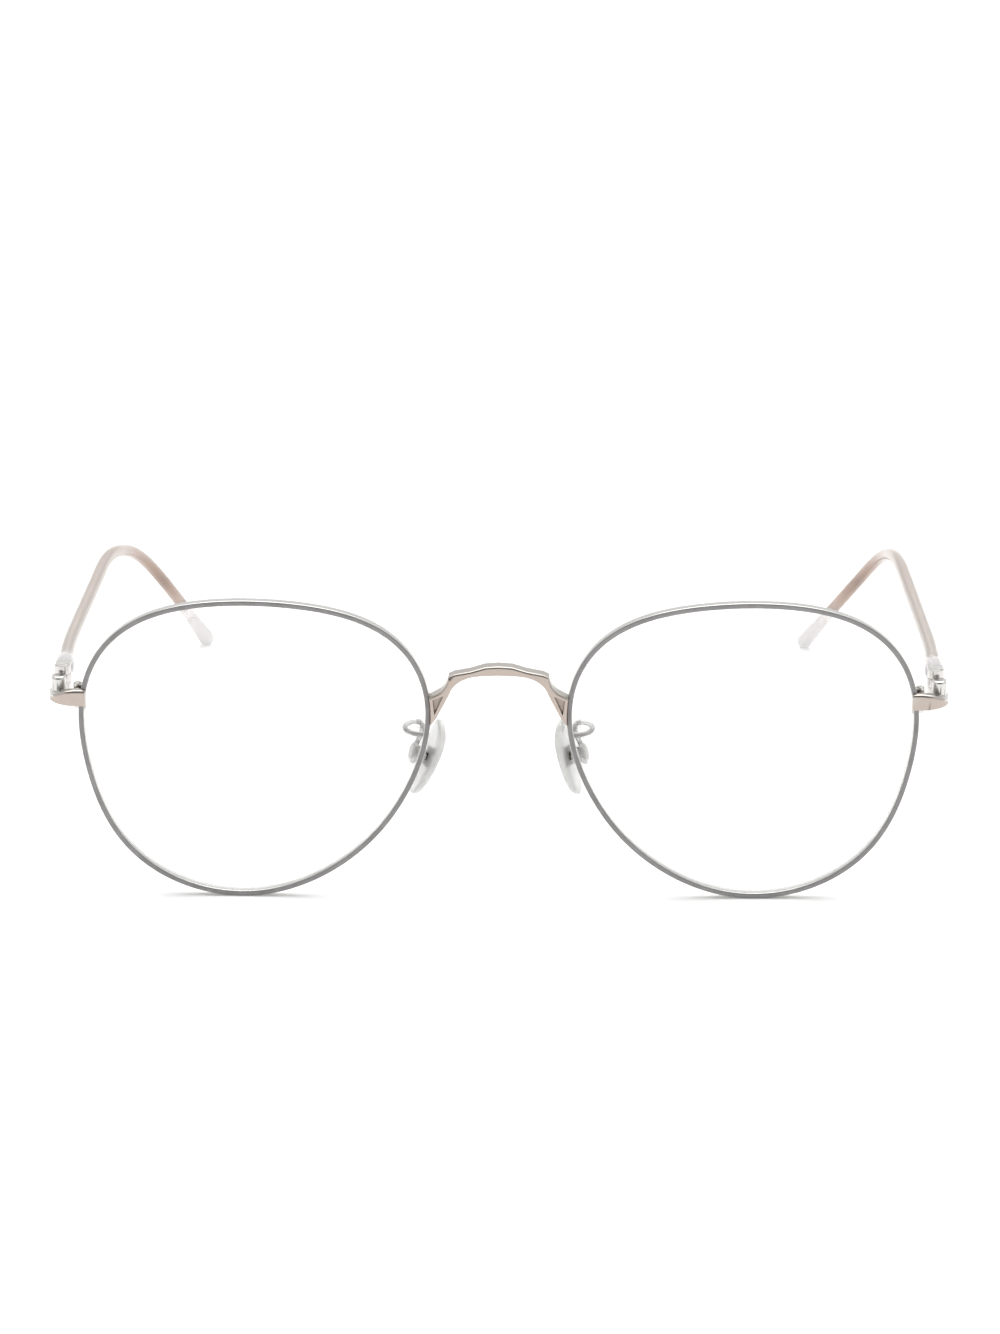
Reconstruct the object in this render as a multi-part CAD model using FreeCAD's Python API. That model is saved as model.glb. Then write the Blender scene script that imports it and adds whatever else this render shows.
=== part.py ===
"""Round wire eyeglasses, one STEP file per physical piece.

Frame: millimetres, +Z up, the wearer looks along -Y, the temples run back along +Y.
The glasses stand open on the bottoms of both rims and on both temple tips, at z = 0.
The wearer's right side is at -X. Every paired piece is drawn once, on that side,
and mirrored through the YZ plane for the wearer's left side. Only the ear bends and the nose
pads are set a little differently, as on glasses that have been adjusted.
Shapes are drawn from the front plane (y = 0) and moved back to the box centre on export.
"""
import FreeCAD, Part
import math
import os

from FreeCAD import Vector

# ---------------------------------------------------------------- driving dimensions
# Eye shape: distance of the rim's centre line from the eye centre, every 30 degrees,
# starting at the nose side and going over the top.
EYE_RADII = (25.15, 26.9, 23.9, 22.2, 24.2, 26.7, 25.1, 24.5, 24.0, 22.9, 22.1, 22.7)
EYE_STEP = 30.0
EYE_X = 36.2                    # eye centre from the middle of the frame
EYE_Z = 23.40                   # eye centre above the surface the glasses stand on

RIM_WIDTH = 0.8                 # radial thickness of the wire
RIM_DEPTH = 1.7                 # front to back
BASE_RADIUS = 120.0             # sphere that rims and lenses are curved to
RIM_POLE_Y = -2.2               # front of that sphere at the eye centre
GROOVE_DEPTH = 0.30
GROOVE_FRONT = 0.65             # groove and lens tongue, behind the rim's front
GROOVE_BACK = 1.15
LENS_FRONT = 0.30
LENS_BACK = 1.50
FIT_GAP = 0.02                  # between pieces that fit into each other
CURVE_STEP = 0.01               # radians, for the direction of the eye shape

BRIDGE_DEPTH = 2.3
BRIDGE_UPPER = (                # front view (x, z), middle to foot
    (0, 36.1),
    (2.0, 35.95),
    (4.2, 35.28),
    (6.5, 34.85),
    (7.4, 34.45),
)
BRIDGE_HOLLOW = ((7.4, 34.45), (7.95, 32.85), (9.1, 31.85))
BRIDGE_FOOT = ((9.1, 31.85), (12.0, 30.3), (12.0, 24.2), (9.2, 28.1), (7.3, 31.75))
BRIDGE_ARCH = ((7.3, 31.75), (6.3, 33.3), (4.9, 34.15), (2.8, 34.6), (0, 34.72))
POCKET = ((9.75, 30.85), (8.2, 31.45), (9.45, 28.6))
POCKET_DEPTH = 0.9

END_BOTTOM = 29.65              # endpiece strip, lowest and highest, at the rim
END_TOP = 32.1
END_LOWER_LINE = ((60.0, 29.65), (63.0, 29.7), (67.0, 30.05))       # its edges seen from the front
END_UPPER_LINE = ((67.0, 30.8), (65.3, 31.35), (64.0, 31.9), (62.6, 32.1), (60.0, 32.1))
END_THICK = 1.25
END_OUTER_X = 66.5
END_CORNER = 3.4                # outer radius of the endpiece's turn back
END_INNER_X = 60.9              # where the strip starts, over the rim
LUG_BOTTOM = 30.1
LUG_RADIUS = 1.1                # hinge lug behind the strip
LUG_INSET = 0.3
LUG_STEP = 1.2
LUG_RISE = 0.4

LOCK_X = 62.2                   # closing block barrel behind the rim
LOCK_Y = 2.75
LOCK_RADIUS = 0.65
LOCK_BOTTOM = 28.6
LOCK_SPLIT = 30.6
LOCK_TOP = 32.45
LOCK_GAP = 0.2
LOCK_BORE = 0.36
LOCK_HEAD_RADIUS = 0.52
LOCK_HEAD = 0.4
LOCK_PROUD = 0.15
LOCK_WEB_X = 61.0
LOCK_WEB_BACK = 0.1

HINGE_X = 64.8                  # hinge axis
HINGE_Y = 6.0
KNUCKLE_RADIUS = 1.2
KNUCKLE_Z = (30.3, 31.55, 32.95, 34.25)      # bottom, two splits, top
KNUCKLE_GAP = 0.05
PIN_RADIUS = 0.6
PIN_CLEARANCE = 0.03
NECK_OUTER = 0.9                # neck of the middle knuckle, each side of the axis
NECK_INNER = 0.75
PLATE_HALF = 1.1                # temple's hinge plate
PLATE_BACK = 2.2
PLATE_GAP = 0.12
HEAD_RADIUS = 0.98
HEAD_HEIGHT = 0.42
HEAD_PROUD = 0.08
PIN_SHORT = 0.05
SLOT_WIDTH = 0.26
SLOT_DEPTH = 0.2

TEMPLE_ROUTE = (                # centre line of the temple, hinge to tip
    (64.8, 8.0, 33.0),
    (65.55, 21.0, 33.0),
    (65.1, 75.0, 32.5),
    (63.7, 97.0, 26.3),
    (60.4, 114.5, 15.4),
    (54.0, 128.0, 1.35),
)
TEMPLE_SET = (0, 0, 0.3, 1.2, 1.3, 0.6)     # both temples are bent this far to +X at those points
CORE_RADIUS = 0.62              # metal wire inside the sleeve
CORE_REACH = 0.7                # it starts this far inside the hinge plate
CORE_END = 11.0                 # and stops this far short of the last route point
SLEEVE_RADIUS = 1.02
BELL_RADIUS = 1.4
BELL_LENGTH = 3.1
BELL_TAPER = 2.0
TIP_RADIUS = 1.35
TIP_FLARE = 9.5

PAD_CENTRE = (-10.0, 6.5, 20.05)       # middle of the metal insert
PAD_TILT = 16.5                 # top of the pad box leans towards the nose
PAD_LEAN = (6.0, -3.0)          # right and left pads rest rocked this far on their boxes, top inwards
PAD_BEND = 20.0                 # radius that the pad bows to, its middle towards the nose
PAD_SPLAY = 20.0                # back edge of the pad turns away from the nose
PAD_THICK = 1.6
PAD_DROP = 0.45                 # middle of the outline, below the insert
PAD_TOP_RADIUS = 2.6
PAD_BOTTOM_RADIUS = 1.9
PAD_SPAN = 7.6                  # between the two end circles
PAD_EDGE = 0.7
PAD_PIVOT = -1.9                # screw axis, along the pad's normal
INSERT_THICK = 0.45             # metal plate moulded into the pad
INSERT_WIDTH = 2.2
INSERT_HEIGHT = 3.0
TAB_HALF = 0.44                 # drilled tab behind the plate
TAB_RADIUS = 0.55
CHEEK_OUTER = 0.95              # pad box: two cheeks on a round back plate
CHEEK_INNER = 0.5
CHEEK_HEIGHT = 1.0
CHEEK_REACH = 0.45              # cheeks past the screw axis, towards the pad
BOX_FRONT = -2.88
BOX_THICK = 0.3
BOX_RADIUS = 1.6
BOX_DOME_RADIUS = 6.0
PAD_SCREW_RADIUS = 0.32
PAD_SCREW_GAP = 0.03
PAD_HEAD_RADIUS = 0.55
PAD_HEAD = 0.35
PAD_SLOT_HALF = 0.09
PAD_SLOT_DEPTH = 0.15

ARM_RADIUS = 0.39
ARM_ROUTE = (                   # pad arm wire, rim to pad box
    (-10.72, 2.35, 24.85),
    (-12.5, 2.75, 24.85),
    (-13.9, 3.7, 25.0),
    (-14.0, 5.4, 25.25),
    (-13.0, 6.9, 25.4),
    (-11.25, 7.2, 25.25),
    (-11.5, 6.3, 23.75),
    (-12.41, 5.63, 22.06),
)

LENS_APEX_Y = RIM_POLE_Y + LENS_FRONT
TIP_BACK_Y = TEMPLE_ROUTE[-1][1] + TIP_RADIUS
MID_Y = (LENS_APEX_Y + TIP_BACK_Y) / 2.0     # moved to y = 0 on export

Z_AXIS = Vector(0, 0, 1)
Y_AXIS = Vector(0, 1, 0)
PRISM_REACH = 10.0              # half the length of the eye-shaped cutting prisms
CUT_SPARE = 1.0                 # cutting shapes reach this far past what they cut
SLOT_REACH = 2.0                # half the length of the bar that cuts a driver slot
HINGE_SLOT_TURN = 28            # driver slots end up turned like this
LOCK_SLOT_TURN = -25


# ---------------------------------------------------------------- small helpers
def block(low, high):
    """A box between two corners."""
    size = Vector(*high).sub(Vector(*low))
    return Part.makeBox(size.x, size.y, size.z, Vector(*low))


def rod(radius, start, end):
    """A round bar between two points."""
    run = Vector(*end).sub(Vector(*start))
    return Part.makeCylinder(radius, run.Length, Vector(*start), run)


def largest(shape):
    """The biggest solid of a shape that a cut may have divided."""
    return max(shape.Solids, key=lambda solid: solid.Volume)


def mirrored(shape):
    """The same piece on the wearer's left side."""
    return shape.mirror(Vector(0, 0, 0), Vector(1, 0, 0))


def screw_slot(centre, top, turn):
    """The bar that cuts a driver slot into a head lying level at height top."""
    foot = Vector(-SLOT_REACH, -SLOT_WIDTH / 2, 0)
    bar = Part.makeBox(2 * SLOT_REACH, SLOT_WIDTH, CUT_SPARE, foot)
    bar.rotate(Vector(0, 0, 0), Z_AXIS, turn)
    bar.translate(Vector(centre[0], centre[1], top - SLOT_DEPTH))
    return bar


def rounded_route(points, share=0.47):
    """Straight runs through the points, joined by tangent arcs as large as fit."""
    points = [Vector(*point) for point in points]
    edges = []
    start = points[0]
    for before, corner, after in zip(points, points[1:], points[2:]):
        back = before.sub(corner)
        ahead = after.sub(corner)
        reach = share * min(back.Length, ahead.Length)
        back.normalize()
        ahead.normalize()
        first = corner.add(back * reach)
        last = corner.add(ahead * reach)
        half = back.getAngle(ahead) / 2.0
        inward = back.add(ahead)
        inward.normalize()
        radius = reach * math.tan(half)
        middle = corner.add(inward * (reach / math.cos(half) - radius))
        edges.append(Part.LineSegment(start, first).toShape())
        edges.append(Part.Arc(first, middle, last).toShape())
        start = last
    edges.append(Part.LineSegment(start, points[-1]).toShape())
    return Part.Wire(edges)


def wire_along(points, radius):
    """Round wire of one radius along a rounded route."""
    path = rounded_route(points)
    start = Vector(*points[0])
    direction = Vector(*points[1]).sub(start)
    section = Part.Wire(Part.makeCircle(radius, start, direction))
    return path.makePipeShell([section], True, False)


# ---------------------------------------------------------------- eye shape and shells
def eye_radius(angle):
    """Distance of the rim's centre line from the eye centre, a smooth wave through EYE_RADII."""
    count = len(EYE_RADII)
    total = 0.0
    for index, radius in enumerate(EYE_RADII):
        gap = angle - math.radians(index * EYE_STEP)
        if abs(math.sin(gap / 2)) < 1e-9:
            return radius
        total += radius * math.sin(count * gap / 2) / (count * math.tan(gap / 2))
    return total


def eye_point(angle):
    """Point of the rim's centre line on the wearer's right side."""
    radius = eye_radius(angle)
    return Vector(-EYE_X + radius * math.cos(angle), 0, EYE_Z + radius * math.sin(angle))


def eye_prism(offset):
    """Solid along Y with the eye shape as its section, grown outwards by offset."""
    step = math.radians(EYE_STEP / 4)
    points = []
    for index in range(4 * len(EYE_RADII)):
        angle = index * step
        along = eye_point(angle + CURVE_STEP).sub(eye_point(angle - CURVE_STEP))
        outward = along.cross(Y_AXIS) * -1.0
        outward.normalize()
        points.append(eye_point(angle).add(outward * offset))
    outline = Part.BSplineCurve()
    outline.interpolate(Points=points, PeriodicFlag=True)
    face = Part.Face(Part.Wire(outline.toShape()))
    face.translate(Vector(0, -PRISM_REACH, 0))
    return face.extrude(Vector(0, 2 * PRISM_REACH, 0))


def curved_layer(front, back):
    """The layer between two depths behind the rim's front sphere."""
    centre = Vector(-EYE_X, RIM_POLE_Y + BASE_RADIUS, EYE_Z)
    outer = Part.makeSphere(BASE_RADIUS - front, centre)
    return outer.cut(Part.makeSphere(BASE_RADIUS - back, centre))


def make_rim():
    """Eyewire with its lens groove, split behind the endpiece."""
    ring = eye_prism(RIM_WIDTH / 2).cut(eye_prism(-RIM_WIDTH / 2))
    ring = ring.common(curved_layer(0, RIM_DEPTH))
    groove = eye_prism(-RIM_WIDTH / 2 + GROOVE_DEPTH).common(curved_layer(GROOVE_FRONT, GROOVE_BACK))
    split = block(
        (-END_OUTER_X, -PRISM_REACH, LOCK_SPLIT - LOCK_GAP / 2),
        (-EYE_X, PRISM_REACH, LOCK_SPLIT + LOCK_GAP / 2),
    )
    return largest(ring.cut(groove).cut(split))


def make_lens():
    """Plain curved lens with the tongue that sits in the rim's groove."""
    body = eye_prism(-RIM_WIDTH / 2 - FIT_GAP).common(curved_layer(LENS_FRONT, LENS_BACK))
    tongue = eye_prism(-RIM_WIDTH / 2 + GROOVE_DEPTH - FIT_GAP)
    tongue = tongue.common(curved_layer(GROOVE_FRONT + FIT_GAP, GROOVE_BACK - FIT_GAP))
    return largest(body.fuse(tongue))


# ---------------------------------------------------------------- bridge
def bridge_half_outline():
    """Right half of the bridge's front view, from the middle to inside the rim."""
    def run(points):
        corners = [Vector(-x, 0, z) for x, z in points]
        return [Part.makeLine(a, b) for a, b in zip(corners, corners[1:])]

    hollow = Part.Arc(*[Vector(-x, 0, z) for x, z in BRIDGE_HOLLOW]).toShape()
    arch = Part.BSplineCurve()
    arch.interpolate(Points=[Vector(-x, 0, z) for x, z in BRIDGE_ARCH])
    edges = run(BRIDGE_UPPER) + [hollow] + run(BRIDGE_FOOT) + [arch.toShape()]
    edges += run((BRIDGE_ARCH[-1], BRIDGE_UPPER[0]))
    return Part.Wire(edges)


def make_bridge(eye_solid):
    """One-piece bridge: an arched bar with a two-legged foot at each rim."""
    half = Part.Face(bridge_half_outline()).extrude(Vector(0, BRIDGE_DEPTH, 0))
    corners = [Vector(-x, 0, z) for x, z in POCKET]
    pocket = Part.Face(Part.makePolygon(corners + corners[:1]))
    half = half.cut(pocket.extrude(Vector(0, POCKET_DEPTH, 0)))
    half = half.cut(eye_solid)
    return largest(half.fuse(mirrored(half)).removeSplitter())


# ---------------------------------------------------------------- endpiece, lock and hinge
def endpiece_front_view(back):
    """Prism through the strip's front view: full height at the rim, thin at the corner."""
    line = END_LOWER_LINE + END_UPPER_LINE + END_LOWER_LINE[:1]
    corners = [Vector(-x, -CUT_SPARE, z) for x, z in line]
    return Part.Face(Part.makePolygon(corners)).extrude(Vector(0, back + 2 * CUT_SPARE, 0))


def make_endpiece(rim, lens, lock_space):
    """Strip that turns back from the rim, with the middle hinge knuckle on its end."""
    outer, inner = END_OUTER_X, END_OUTER_X - END_THICK
    turn = outer - END_CORNER
    back = HINGE_Y - KNUCKLE_RADIUS - KNUCKLE_GAP
    bend = math.sqrt(0.5)

    def at(x, y):
        return Vector(-x, y, END_BOTTOM)

    small = END_CORNER - END_THICK
    edges = [
        Part.makeLine(at(END_INNER_X, 0), at(turn, 0)),
        Part.Arc(
            at(turn, 0),
            at(turn + END_CORNER * bend, END_CORNER * (1 - bend)),
            at(outer, END_CORNER),
        ).toShape(),
        Part.makeLine(at(outer, END_CORNER), at(outer, back)),
        Part.makeLine(at(outer, back), at(inner, back)),
        Part.makeLine(at(inner, back), at(inner, END_CORNER)),
        Part.Arc(
            at(inner, END_CORNER),
            at(turn + small * bend, END_CORNER - small * bend),
            at(turn, END_THICK),
        ).toShape(),
        Part.makeLine(at(turn, END_THICK), at(END_INNER_X, END_THICK)),
        Part.makeLine(at(END_INNER_X, END_THICK), at(END_INNER_X, 0)),
    ]
    strip = Part.Face(Part.Wire(edges)).extrude(Vector(0, 0, END_TOP - END_BOTTOM))
    strip = strip.common(endpiece_front_view(back))
    lug_height = KNUCKLE_Z[2] + LUG_RISE - LUG_BOTTOM
    lug_foot = Vector(-HINGE_X - LUG_INSET, back - LUG_STEP, LUG_BOTTOM)
    lug = Part.makeCylinder(LUG_RADIUS, lug_height, lug_foot)
    low, high = KNUCKLE_Z[1] + KNUCKLE_GAP, KNUCKLE_Z[2] - KNUCKLE_GAP
    neck = block(
        (-HINGE_X - NECK_OUTER, back - LUG_RADIUS, low),
        (-HINGE_X + NECK_INNER, HINGE_Y, high),
    )
    knuckle = Part.makeCylinder(KNUCKLE_RADIUS, high - low, Vector(-HINGE_X, HINGE_Y, low))
    bore = rod(
        PIN_RADIUS + PIN_CLEARANCE,
        (-HINGE_X, HINGE_Y, KNUCKLE_Z[0] - CUT_SPARE),
        (-HINGE_X, HINGE_Y, KNUCKLE_Z[3] + CUT_SPARE),
    )
    body = strip.fuse([lug, neck, knuckle]).cut(bore)
    return largest(body.cut([rim, lens, lock_space]).removeSplitter())


def lock_barrel(low, high):
    """Part of the closing block between two heights, reaching in to the rim's wall."""
    barrel = Part.makeCylinder(LOCK_RADIUS, high - low, Vector(-LOCK_X, LOCK_Y, low))
    web = block((-LOCK_X, LOCK_Y - LOCK_RADIUS, low), (-LOCK_WEB_X, LOCK_Y + LOCK_WEB_BACK, high))
    return barrel.fuse(web)


def make_lock_block(rim, low, high):
    """One half of the closing block, soldered to its end of the split rim."""
    head_hole = rod(
        LOCK_HEAD_RADIUS + FIT_GAP,
        (-LOCK_X, LOCK_Y, LOCK_TOP + LOCK_PROUD - LOCK_HEAD),
        (-LOCK_X, LOCK_Y, LOCK_TOP + CUT_SPARE),
    )
    hole = rod(LOCK_BORE, (-LOCK_X, LOCK_Y, LOCK_BOTTOM - CUT_SPARE), (-LOCK_X, LOCK_Y, LOCK_TOP + CUT_SPARE))
    return largest(lock_barrel(low, high).cut([rim, hole, head_hole]).removeSplitter())


def make_lock_screw(turn):
    """Slotted screw that pulls the two halves of the closing block together."""
    top = LOCK_TOP + LOCK_PROUD
    shank = rod(LOCK_BORE, (-LOCK_X, LOCK_Y, LOCK_BOTTOM), (-LOCK_X, LOCK_Y, top - LOCK_HEAD))
    head = rod(LOCK_HEAD_RADIUS, (-LOCK_X, LOCK_Y, top - LOCK_HEAD), (-LOCK_X, LOCK_Y, top))
    screw = shank.fuse(head).cut(screw_slot((-LOCK_X, LOCK_Y), top, turn))
    return largest(screw.removeSplitter())


def make_hinge_screw(turn):
    """Slotted hinge screw: the pin that the temple swings on."""
    top = KNUCKLE_Z[3] + HEAD_PROUD
    head_low = top - HEAD_HEIGHT
    pin_low = KNUCKLE_Z[0] + PIN_SHORT
    pin = rod(PIN_RADIUS, (-HINGE_X, HINGE_Y, pin_low), (-HINGE_X, HINGE_Y, head_low))
    head = rod(HEAD_RADIUS, (-HINGE_X, HINGE_Y, head_low), (-HINGE_X, HINGE_Y, top))
    screw = pin.fuse(head).cut(screw_slot((-HINGE_X, HINGE_Y), top, turn))
    return largest(screw.removeSplitter())


def make_temple_hinge(core, screw):
    """Two-knuckle hinge plate soldered to the front end of the temple wire."""
    inner, outer, back = -HINGE_X + PLATE_HALF, -HINGE_X - PLATE_HALF, HINGE_Y + PLATE_BACK
    front = HINGE_Y + KNUCKLE_RADIUS + PLATE_GAP
    plate = block((outer, front, KNUCKLE_Z[0]), (inner, back, KNUCKLE_Z[3]))
    for low, high in (KNUCKLE_Z[:2], KNUCKLE_Z[2:]):
        plate = plate.fuse(block((outer, HINGE_Y, low), (inner, back, high)))
        plate = plate.fuse(rod(KNUCKLE_RADIUS, (-HINGE_X, HINGE_Y, low), (-HINGE_X, HINGE_Y, high)))
    plate = plate.cut([core, screw])
    head_space = rod(
        HEAD_RADIUS + FIT_GAP,
        (-HINGE_X, HINGE_Y, KNUCKLE_Z[3] + HEAD_PROUD - HEAD_HEIGHT),
        (-HINGE_X, HINGE_Y, KNUCKLE_Z[3] + CUT_SPARE),
    )
    return largest(plate.cut(head_space).removeSplitter())


# ---------------------------------------------------------------- temple wire and sleeve
def temple_points(bend, short=0.0):
    """Temple route at -X, bent inwards (bend 1) or outwards (-1), its last run shortened."""
    points = [Vector(bend * shift - x, y, z) for (x, y, z), shift in zip(TEMPLE_ROUTE, TEMPLE_SET)]
    run = points[-1].sub(points[-2])
    run.normalize()
    points[-1] = points[-1].sub(run * short)
    return [tuple(point) for point in points]


def make_temple_core(bend):
    """Metal wire of the temple, from the hinge plate to inside the tip."""
    points = temple_points(bend, CORE_END)
    start = Vector(*points[0])
    first = Vector(*points[1]).sub(start)
    first.normalize()
    points[0] = tuple(start.sub(first * CORE_REACH))
    return wire_along(points, CORE_RADIUS)


def make_sleeve(core, hinge, bend):
    """Clear sleeve: a bell over the hinge end, a round tube and a flared tip."""
    points = temple_points(bend)
    start = Vector(*points[0])
    ahead = Vector(*points[1]).sub(start)
    ahead.normalize()
    end = Vector(*points[-1])
    back = Vector(*points[-2]).sub(end)
    back.normalize()
    tube = wire_along(points, SLEEVE_RADIUS)
    bell = Part.makeCylinder(BELL_RADIUS, BELL_LENGTH, start, ahead)
    taper_at = start.add(ahead * BELL_LENGTH)
    taper = Part.makeCone(BELL_RADIUS, SLEEVE_RADIUS, BELL_TAPER, taper_at, ahead)
    flare = Part.makeCone(TIP_RADIUS, SLEEVE_RADIUS, TIP_FLARE, end, back)
    knob = Part.makeSphere(TIP_RADIUS, end)
    return largest(tube.fuse([bell, taper, flare, knob]).cut([core, hinge]).removeSplitter())


# ---------------------------------------------------------------- nose pads and their arms
def pad_to_frame(shape, lean=0.0):
    """Place a shape drawn in the pad's own axes: X to the nose, Y back, Z up."""
    shape.rotate(Vector(PAD_PIVOT, 0, 0), Y_AXIS, lean)
    shape.rotate(Vector(0, 0, 0), Y_AXIS, PAD_TILT)
    shape.rotate(Vector(0, 0, 0), Z_AXIS, PAD_SPLAY)
    shape.translate(Vector(*PAD_CENTRE))
    return shape


def pad_outline():
    """Egg-shaped face of the pad, wider at the top, in its YZ plane."""
    half = PAD_SPAN / 2
    lean = math.asin((PAD_BOTTOM_RADIUS - PAD_TOP_RADIUS) / PAD_SPAN)

    def on(radius, z, side):
        return Vector(0, side * radius * math.cos(lean), z + radius * math.sin(lean))

    top_z, low_z = half - PAD_DROP, -half - PAD_DROP
    edges = [
        Part.makeLine(on(PAD_BOTTOM_RADIUS, low_z, 1), on(PAD_TOP_RADIUS, top_z, 1)),
        Part.Arc(
            on(PAD_TOP_RADIUS, top_z, 1),
            Vector(0, 0, top_z + PAD_TOP_RADIUS),
            on(PAD_TOP_RADIUS, top_z, -1),
        ).toShape(),
        Part.makeLine(on(PAD_TOP_RADIUS, top_z, -1), on(PAD_BOTTOM_RADIUS, low_z, -1)),
        Part.Arc(
            on(PAD_BOTTOM_RADIUS, low_z, -1),
            Vector(0, 0, low_z - PAD_BOTTOM_RADIUS),
            on(PAD_BOTTOM_RADIUS, low_z, 1),
        ).toShape(),
    ]
    return Part.Wire(edges)


def screw_bore(gap):
    """Hole for the pad screw in the pad's own axes."""
    return rod(PAD_SCREW_RADIUS + gap, (PAD_PIVOT, -BOX_RADIUS, 0), (PAD_PIVOT, BOX_RADIUS, 0))


def pad_core_shape():
    """Metal insert of the pad in its own axes: a plate in the pad and a drilled tab."""
    half_width, half_height = INSERT_WIDTH / 2, INSERT_HEIGHT / 2
    plate = block((-INSERT_THICK, -half_width, -half_height), (0, half_width, half_height))
    tab = block((PAD_PIVOT, -TAB_HALF, -TAB_RADIUS), (-INSERT_THICK, TAB_HALF, TAB_RADIUS))
    eye = rod(TAB_RADIUS, (PAD_PIVOT, -TAB_HALF, 0), (PAD_PIVOT, TAB_HALF, 0))
    return largest(plate.fuse([tab, eye]).cut(screw_bore(PAD_SCREW_GAP)).removeSplitter())


def bowed_layer():
    """The layer that a pad is cut from, bowed so that its middle is nearest to the nose."""
    reach = PAD_TOP_RADIUS + CUT_SPARE
    ends = [(-PAD_BEND, -reach, 0), (-PAD_BEND, reach, 0)]
    inner, outer = PAD_BEND - PAD_THICK / 2, PAD_BEND + PAD_THICK / 2
    return rod(outer, *ends).cut(rod(inner, *ends))


def make_pad(lean):
    """Soft clear pad moulded round the metal insert."""
    face = Part.Face(pad_outline())
    face.translate(Vector(-2 * PAD_THICK, 0, 0))
    body = face.extrude(Vector(3 * PAD_THICK, 0, 0)).common(bowed_layer())
    body = body.makeFillet(PAD_EDGE, body.Edges)
    return pad_to_frame(largest(body.cut(pad_core_shape())), lean)


def box_shape():
    """Pad box in the pad's axes: a round back plate with two cheeks."""
    back = BOX_FRONT - BOX_THICK
    disc = rod(BOX_RADIUS, (back, 0, 0), (BOX_FRONT, 0, 0))
    rise = BOX_DOME_RADIUS - math.sqrt(BOX_DOME_RADIUS**2 - BOX_RADIUS**2)
    dome = Part.makeSphere(BOX_DOME_RADIUS, Vector(back - rise + BOX_DOME_RADIUS, 0, 0))
    dome = dome.common(rod(BOX_RADIUS, (back - CUT_SPARE, 0, 0), (back, 0, 0)))
    cheeks = [
        block((BOX_FRONT, low, -CHEEK_HEIGHT), (PAD_PIVOT + CHEEK_REACH, high, CHEEK_HEIGHT))
        for low, high in ((-CHEEK_OUTER, -CHEEK_INNER), (CHEEK_INNER, CHEEK_OUTER))
    ]
    return largest(disc.fuse([dome] + cheeks).cut(screw_bore(0)).removeSplitter())


def make_pad_screw():
    """Small slotted screw through the pad box and the pad's tab."""
    shank = rod(PAD_SCREW_RADIUS, (PAD_PIVOT, -CHEEK_OUTER, 0), (PAD_PIVOT, CHEEK_OUTER, 0))
    face = -CHEEK_OUTER - PAD_HEAD
    head = rod(PAD_HEAD_RADIUS, (PAD_PIVOT, face, 0), (PAD_PIVOT, -CHEEK_OUTER, 0))
    slot = block(
        (PAD_PIVOT - CUT_SPARE, face - CUT_SPARE, -PAD_SLOT_HALF),
        (PAD_PIVOT + CUT_SPARE, face + PAD_SLOT_DEPTH, PAD_SLOT_HALF),
    )
    return pad_to_frame(largest(shank.fuse(head).cut(slot).removeSplitter()))


def make_pad_arm(rim, box):
    """Bent wire that carries the pad box on the back of the rim."""
    wire = wire_along(ARM_ROUTE, ARM_RADIUS)
    return largest(wire.cut([rim, box]))


# ---------------------------------------------------------------- assembly
def build():
    """All pieces by name, in the front-plane frame."""
    rim = make_rim()
    lens = make_lens()
    eye_solid = eye_prism(RIM_WIDTH / 2)
    lock_space = lock_barrel(LOCK_BOTTOM - CUT_SPARE, LOCK_TOP + CUT_SPARE)
    core = make_temple_core(1)
    left_core = make_temple_core(-1)
    hinge_screw = make_hinge_screw(HINGE_SLOT_TURN)
    temple_hinge = make_temple_hinge(core, hinge_screw)
    box = pad_to_frame(box_shape())
    right = {
        "rim": rim,
        "lens": lens,
        "endpiece": make_endpiece(rim, lens, lock_space),
        "rim_lock_upper": make_lock_block(rim, LOCK_SPLIT + LOCK_GAP / 2, LOCK_TOP),
        "rim_lock_lower": make_lock_block(rim, LOCK_BOTTOM, LOCK_SPLIT - LOCK_GAP / 2),
        "rim_lock_screw": make_lock_screw(LOCK_SLOT_TURN),
        "hinge_screw": hinge_screw,
        "temple_hinge": temple_hinge,
        "temple_wire": core,
        "temple_sleeve": make_sleeve(core, temple_hinge, 1),
        "pad_arm": make_pad_arm(rim, box),
        "pad_box": box,
        "pad_screw": make_pad_screw(),
        "pad_insert": pad_to_frame(pad_core_shape(), PAD_LEAN[0]),
        "nose_pad": make_pad(PAD_LEAN[0]),
    }
    pieces = {"bridge": make_bridge(eye_solid)}
    for name, shape in right.items():
        pieces["right_" + name] = shape
        pieces["left_" + name] = mirrored(shape)
    pieces["left_temple_wire"] = mirrored(left_core)
    pieces["left_temple_sleeve"] = mirrored(make_sleeve(left_core, temple_hinge, -1))
    pieces["left_pad_insert"] = mirrored(pad_to_frame(pad_core_shape(), PAD_LEAN[1]))
    pieces["left_nose_pad"] = mirrored(make_pad(PAD_LEAN[1]))
    return pieces


def main():
    """Move every piece to the shared origin and write it."""
    os.makedirs("parts", exist_ok=True)
    for name, shape in build().items():
        placed = shape.copy()
        placed.translate(Vector(0, -MID_Y, 0))
        placed.exportStep("parts/" + name + ".step")
        box = placed.optimalBoundingBox(False)
        print(
            f"{name:22s} solids {len(placed.Solids)} valid {placed.isValid()} volume {placed.Volume:8.3f}"
            f"  x {box.XMin:7.2f} {box.XMax:7.2f}  y {box.YMin:7.2f} {box.YMax:7.2f}"
            f"  z {box.ZMin:6.2f} {box.ZMax:6.2f}"
        )


main()
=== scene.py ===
"""Round wire eyeglasses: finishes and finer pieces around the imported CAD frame.

Everything is in metres in the row frame: +X to the wearer's left, +Y back along the temples,
+Z up, standing on z = 0. Sizes in the classes are in millimetres and measured from the front
plane of the rims, as a maker would read them off a drawing.
"""

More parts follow.
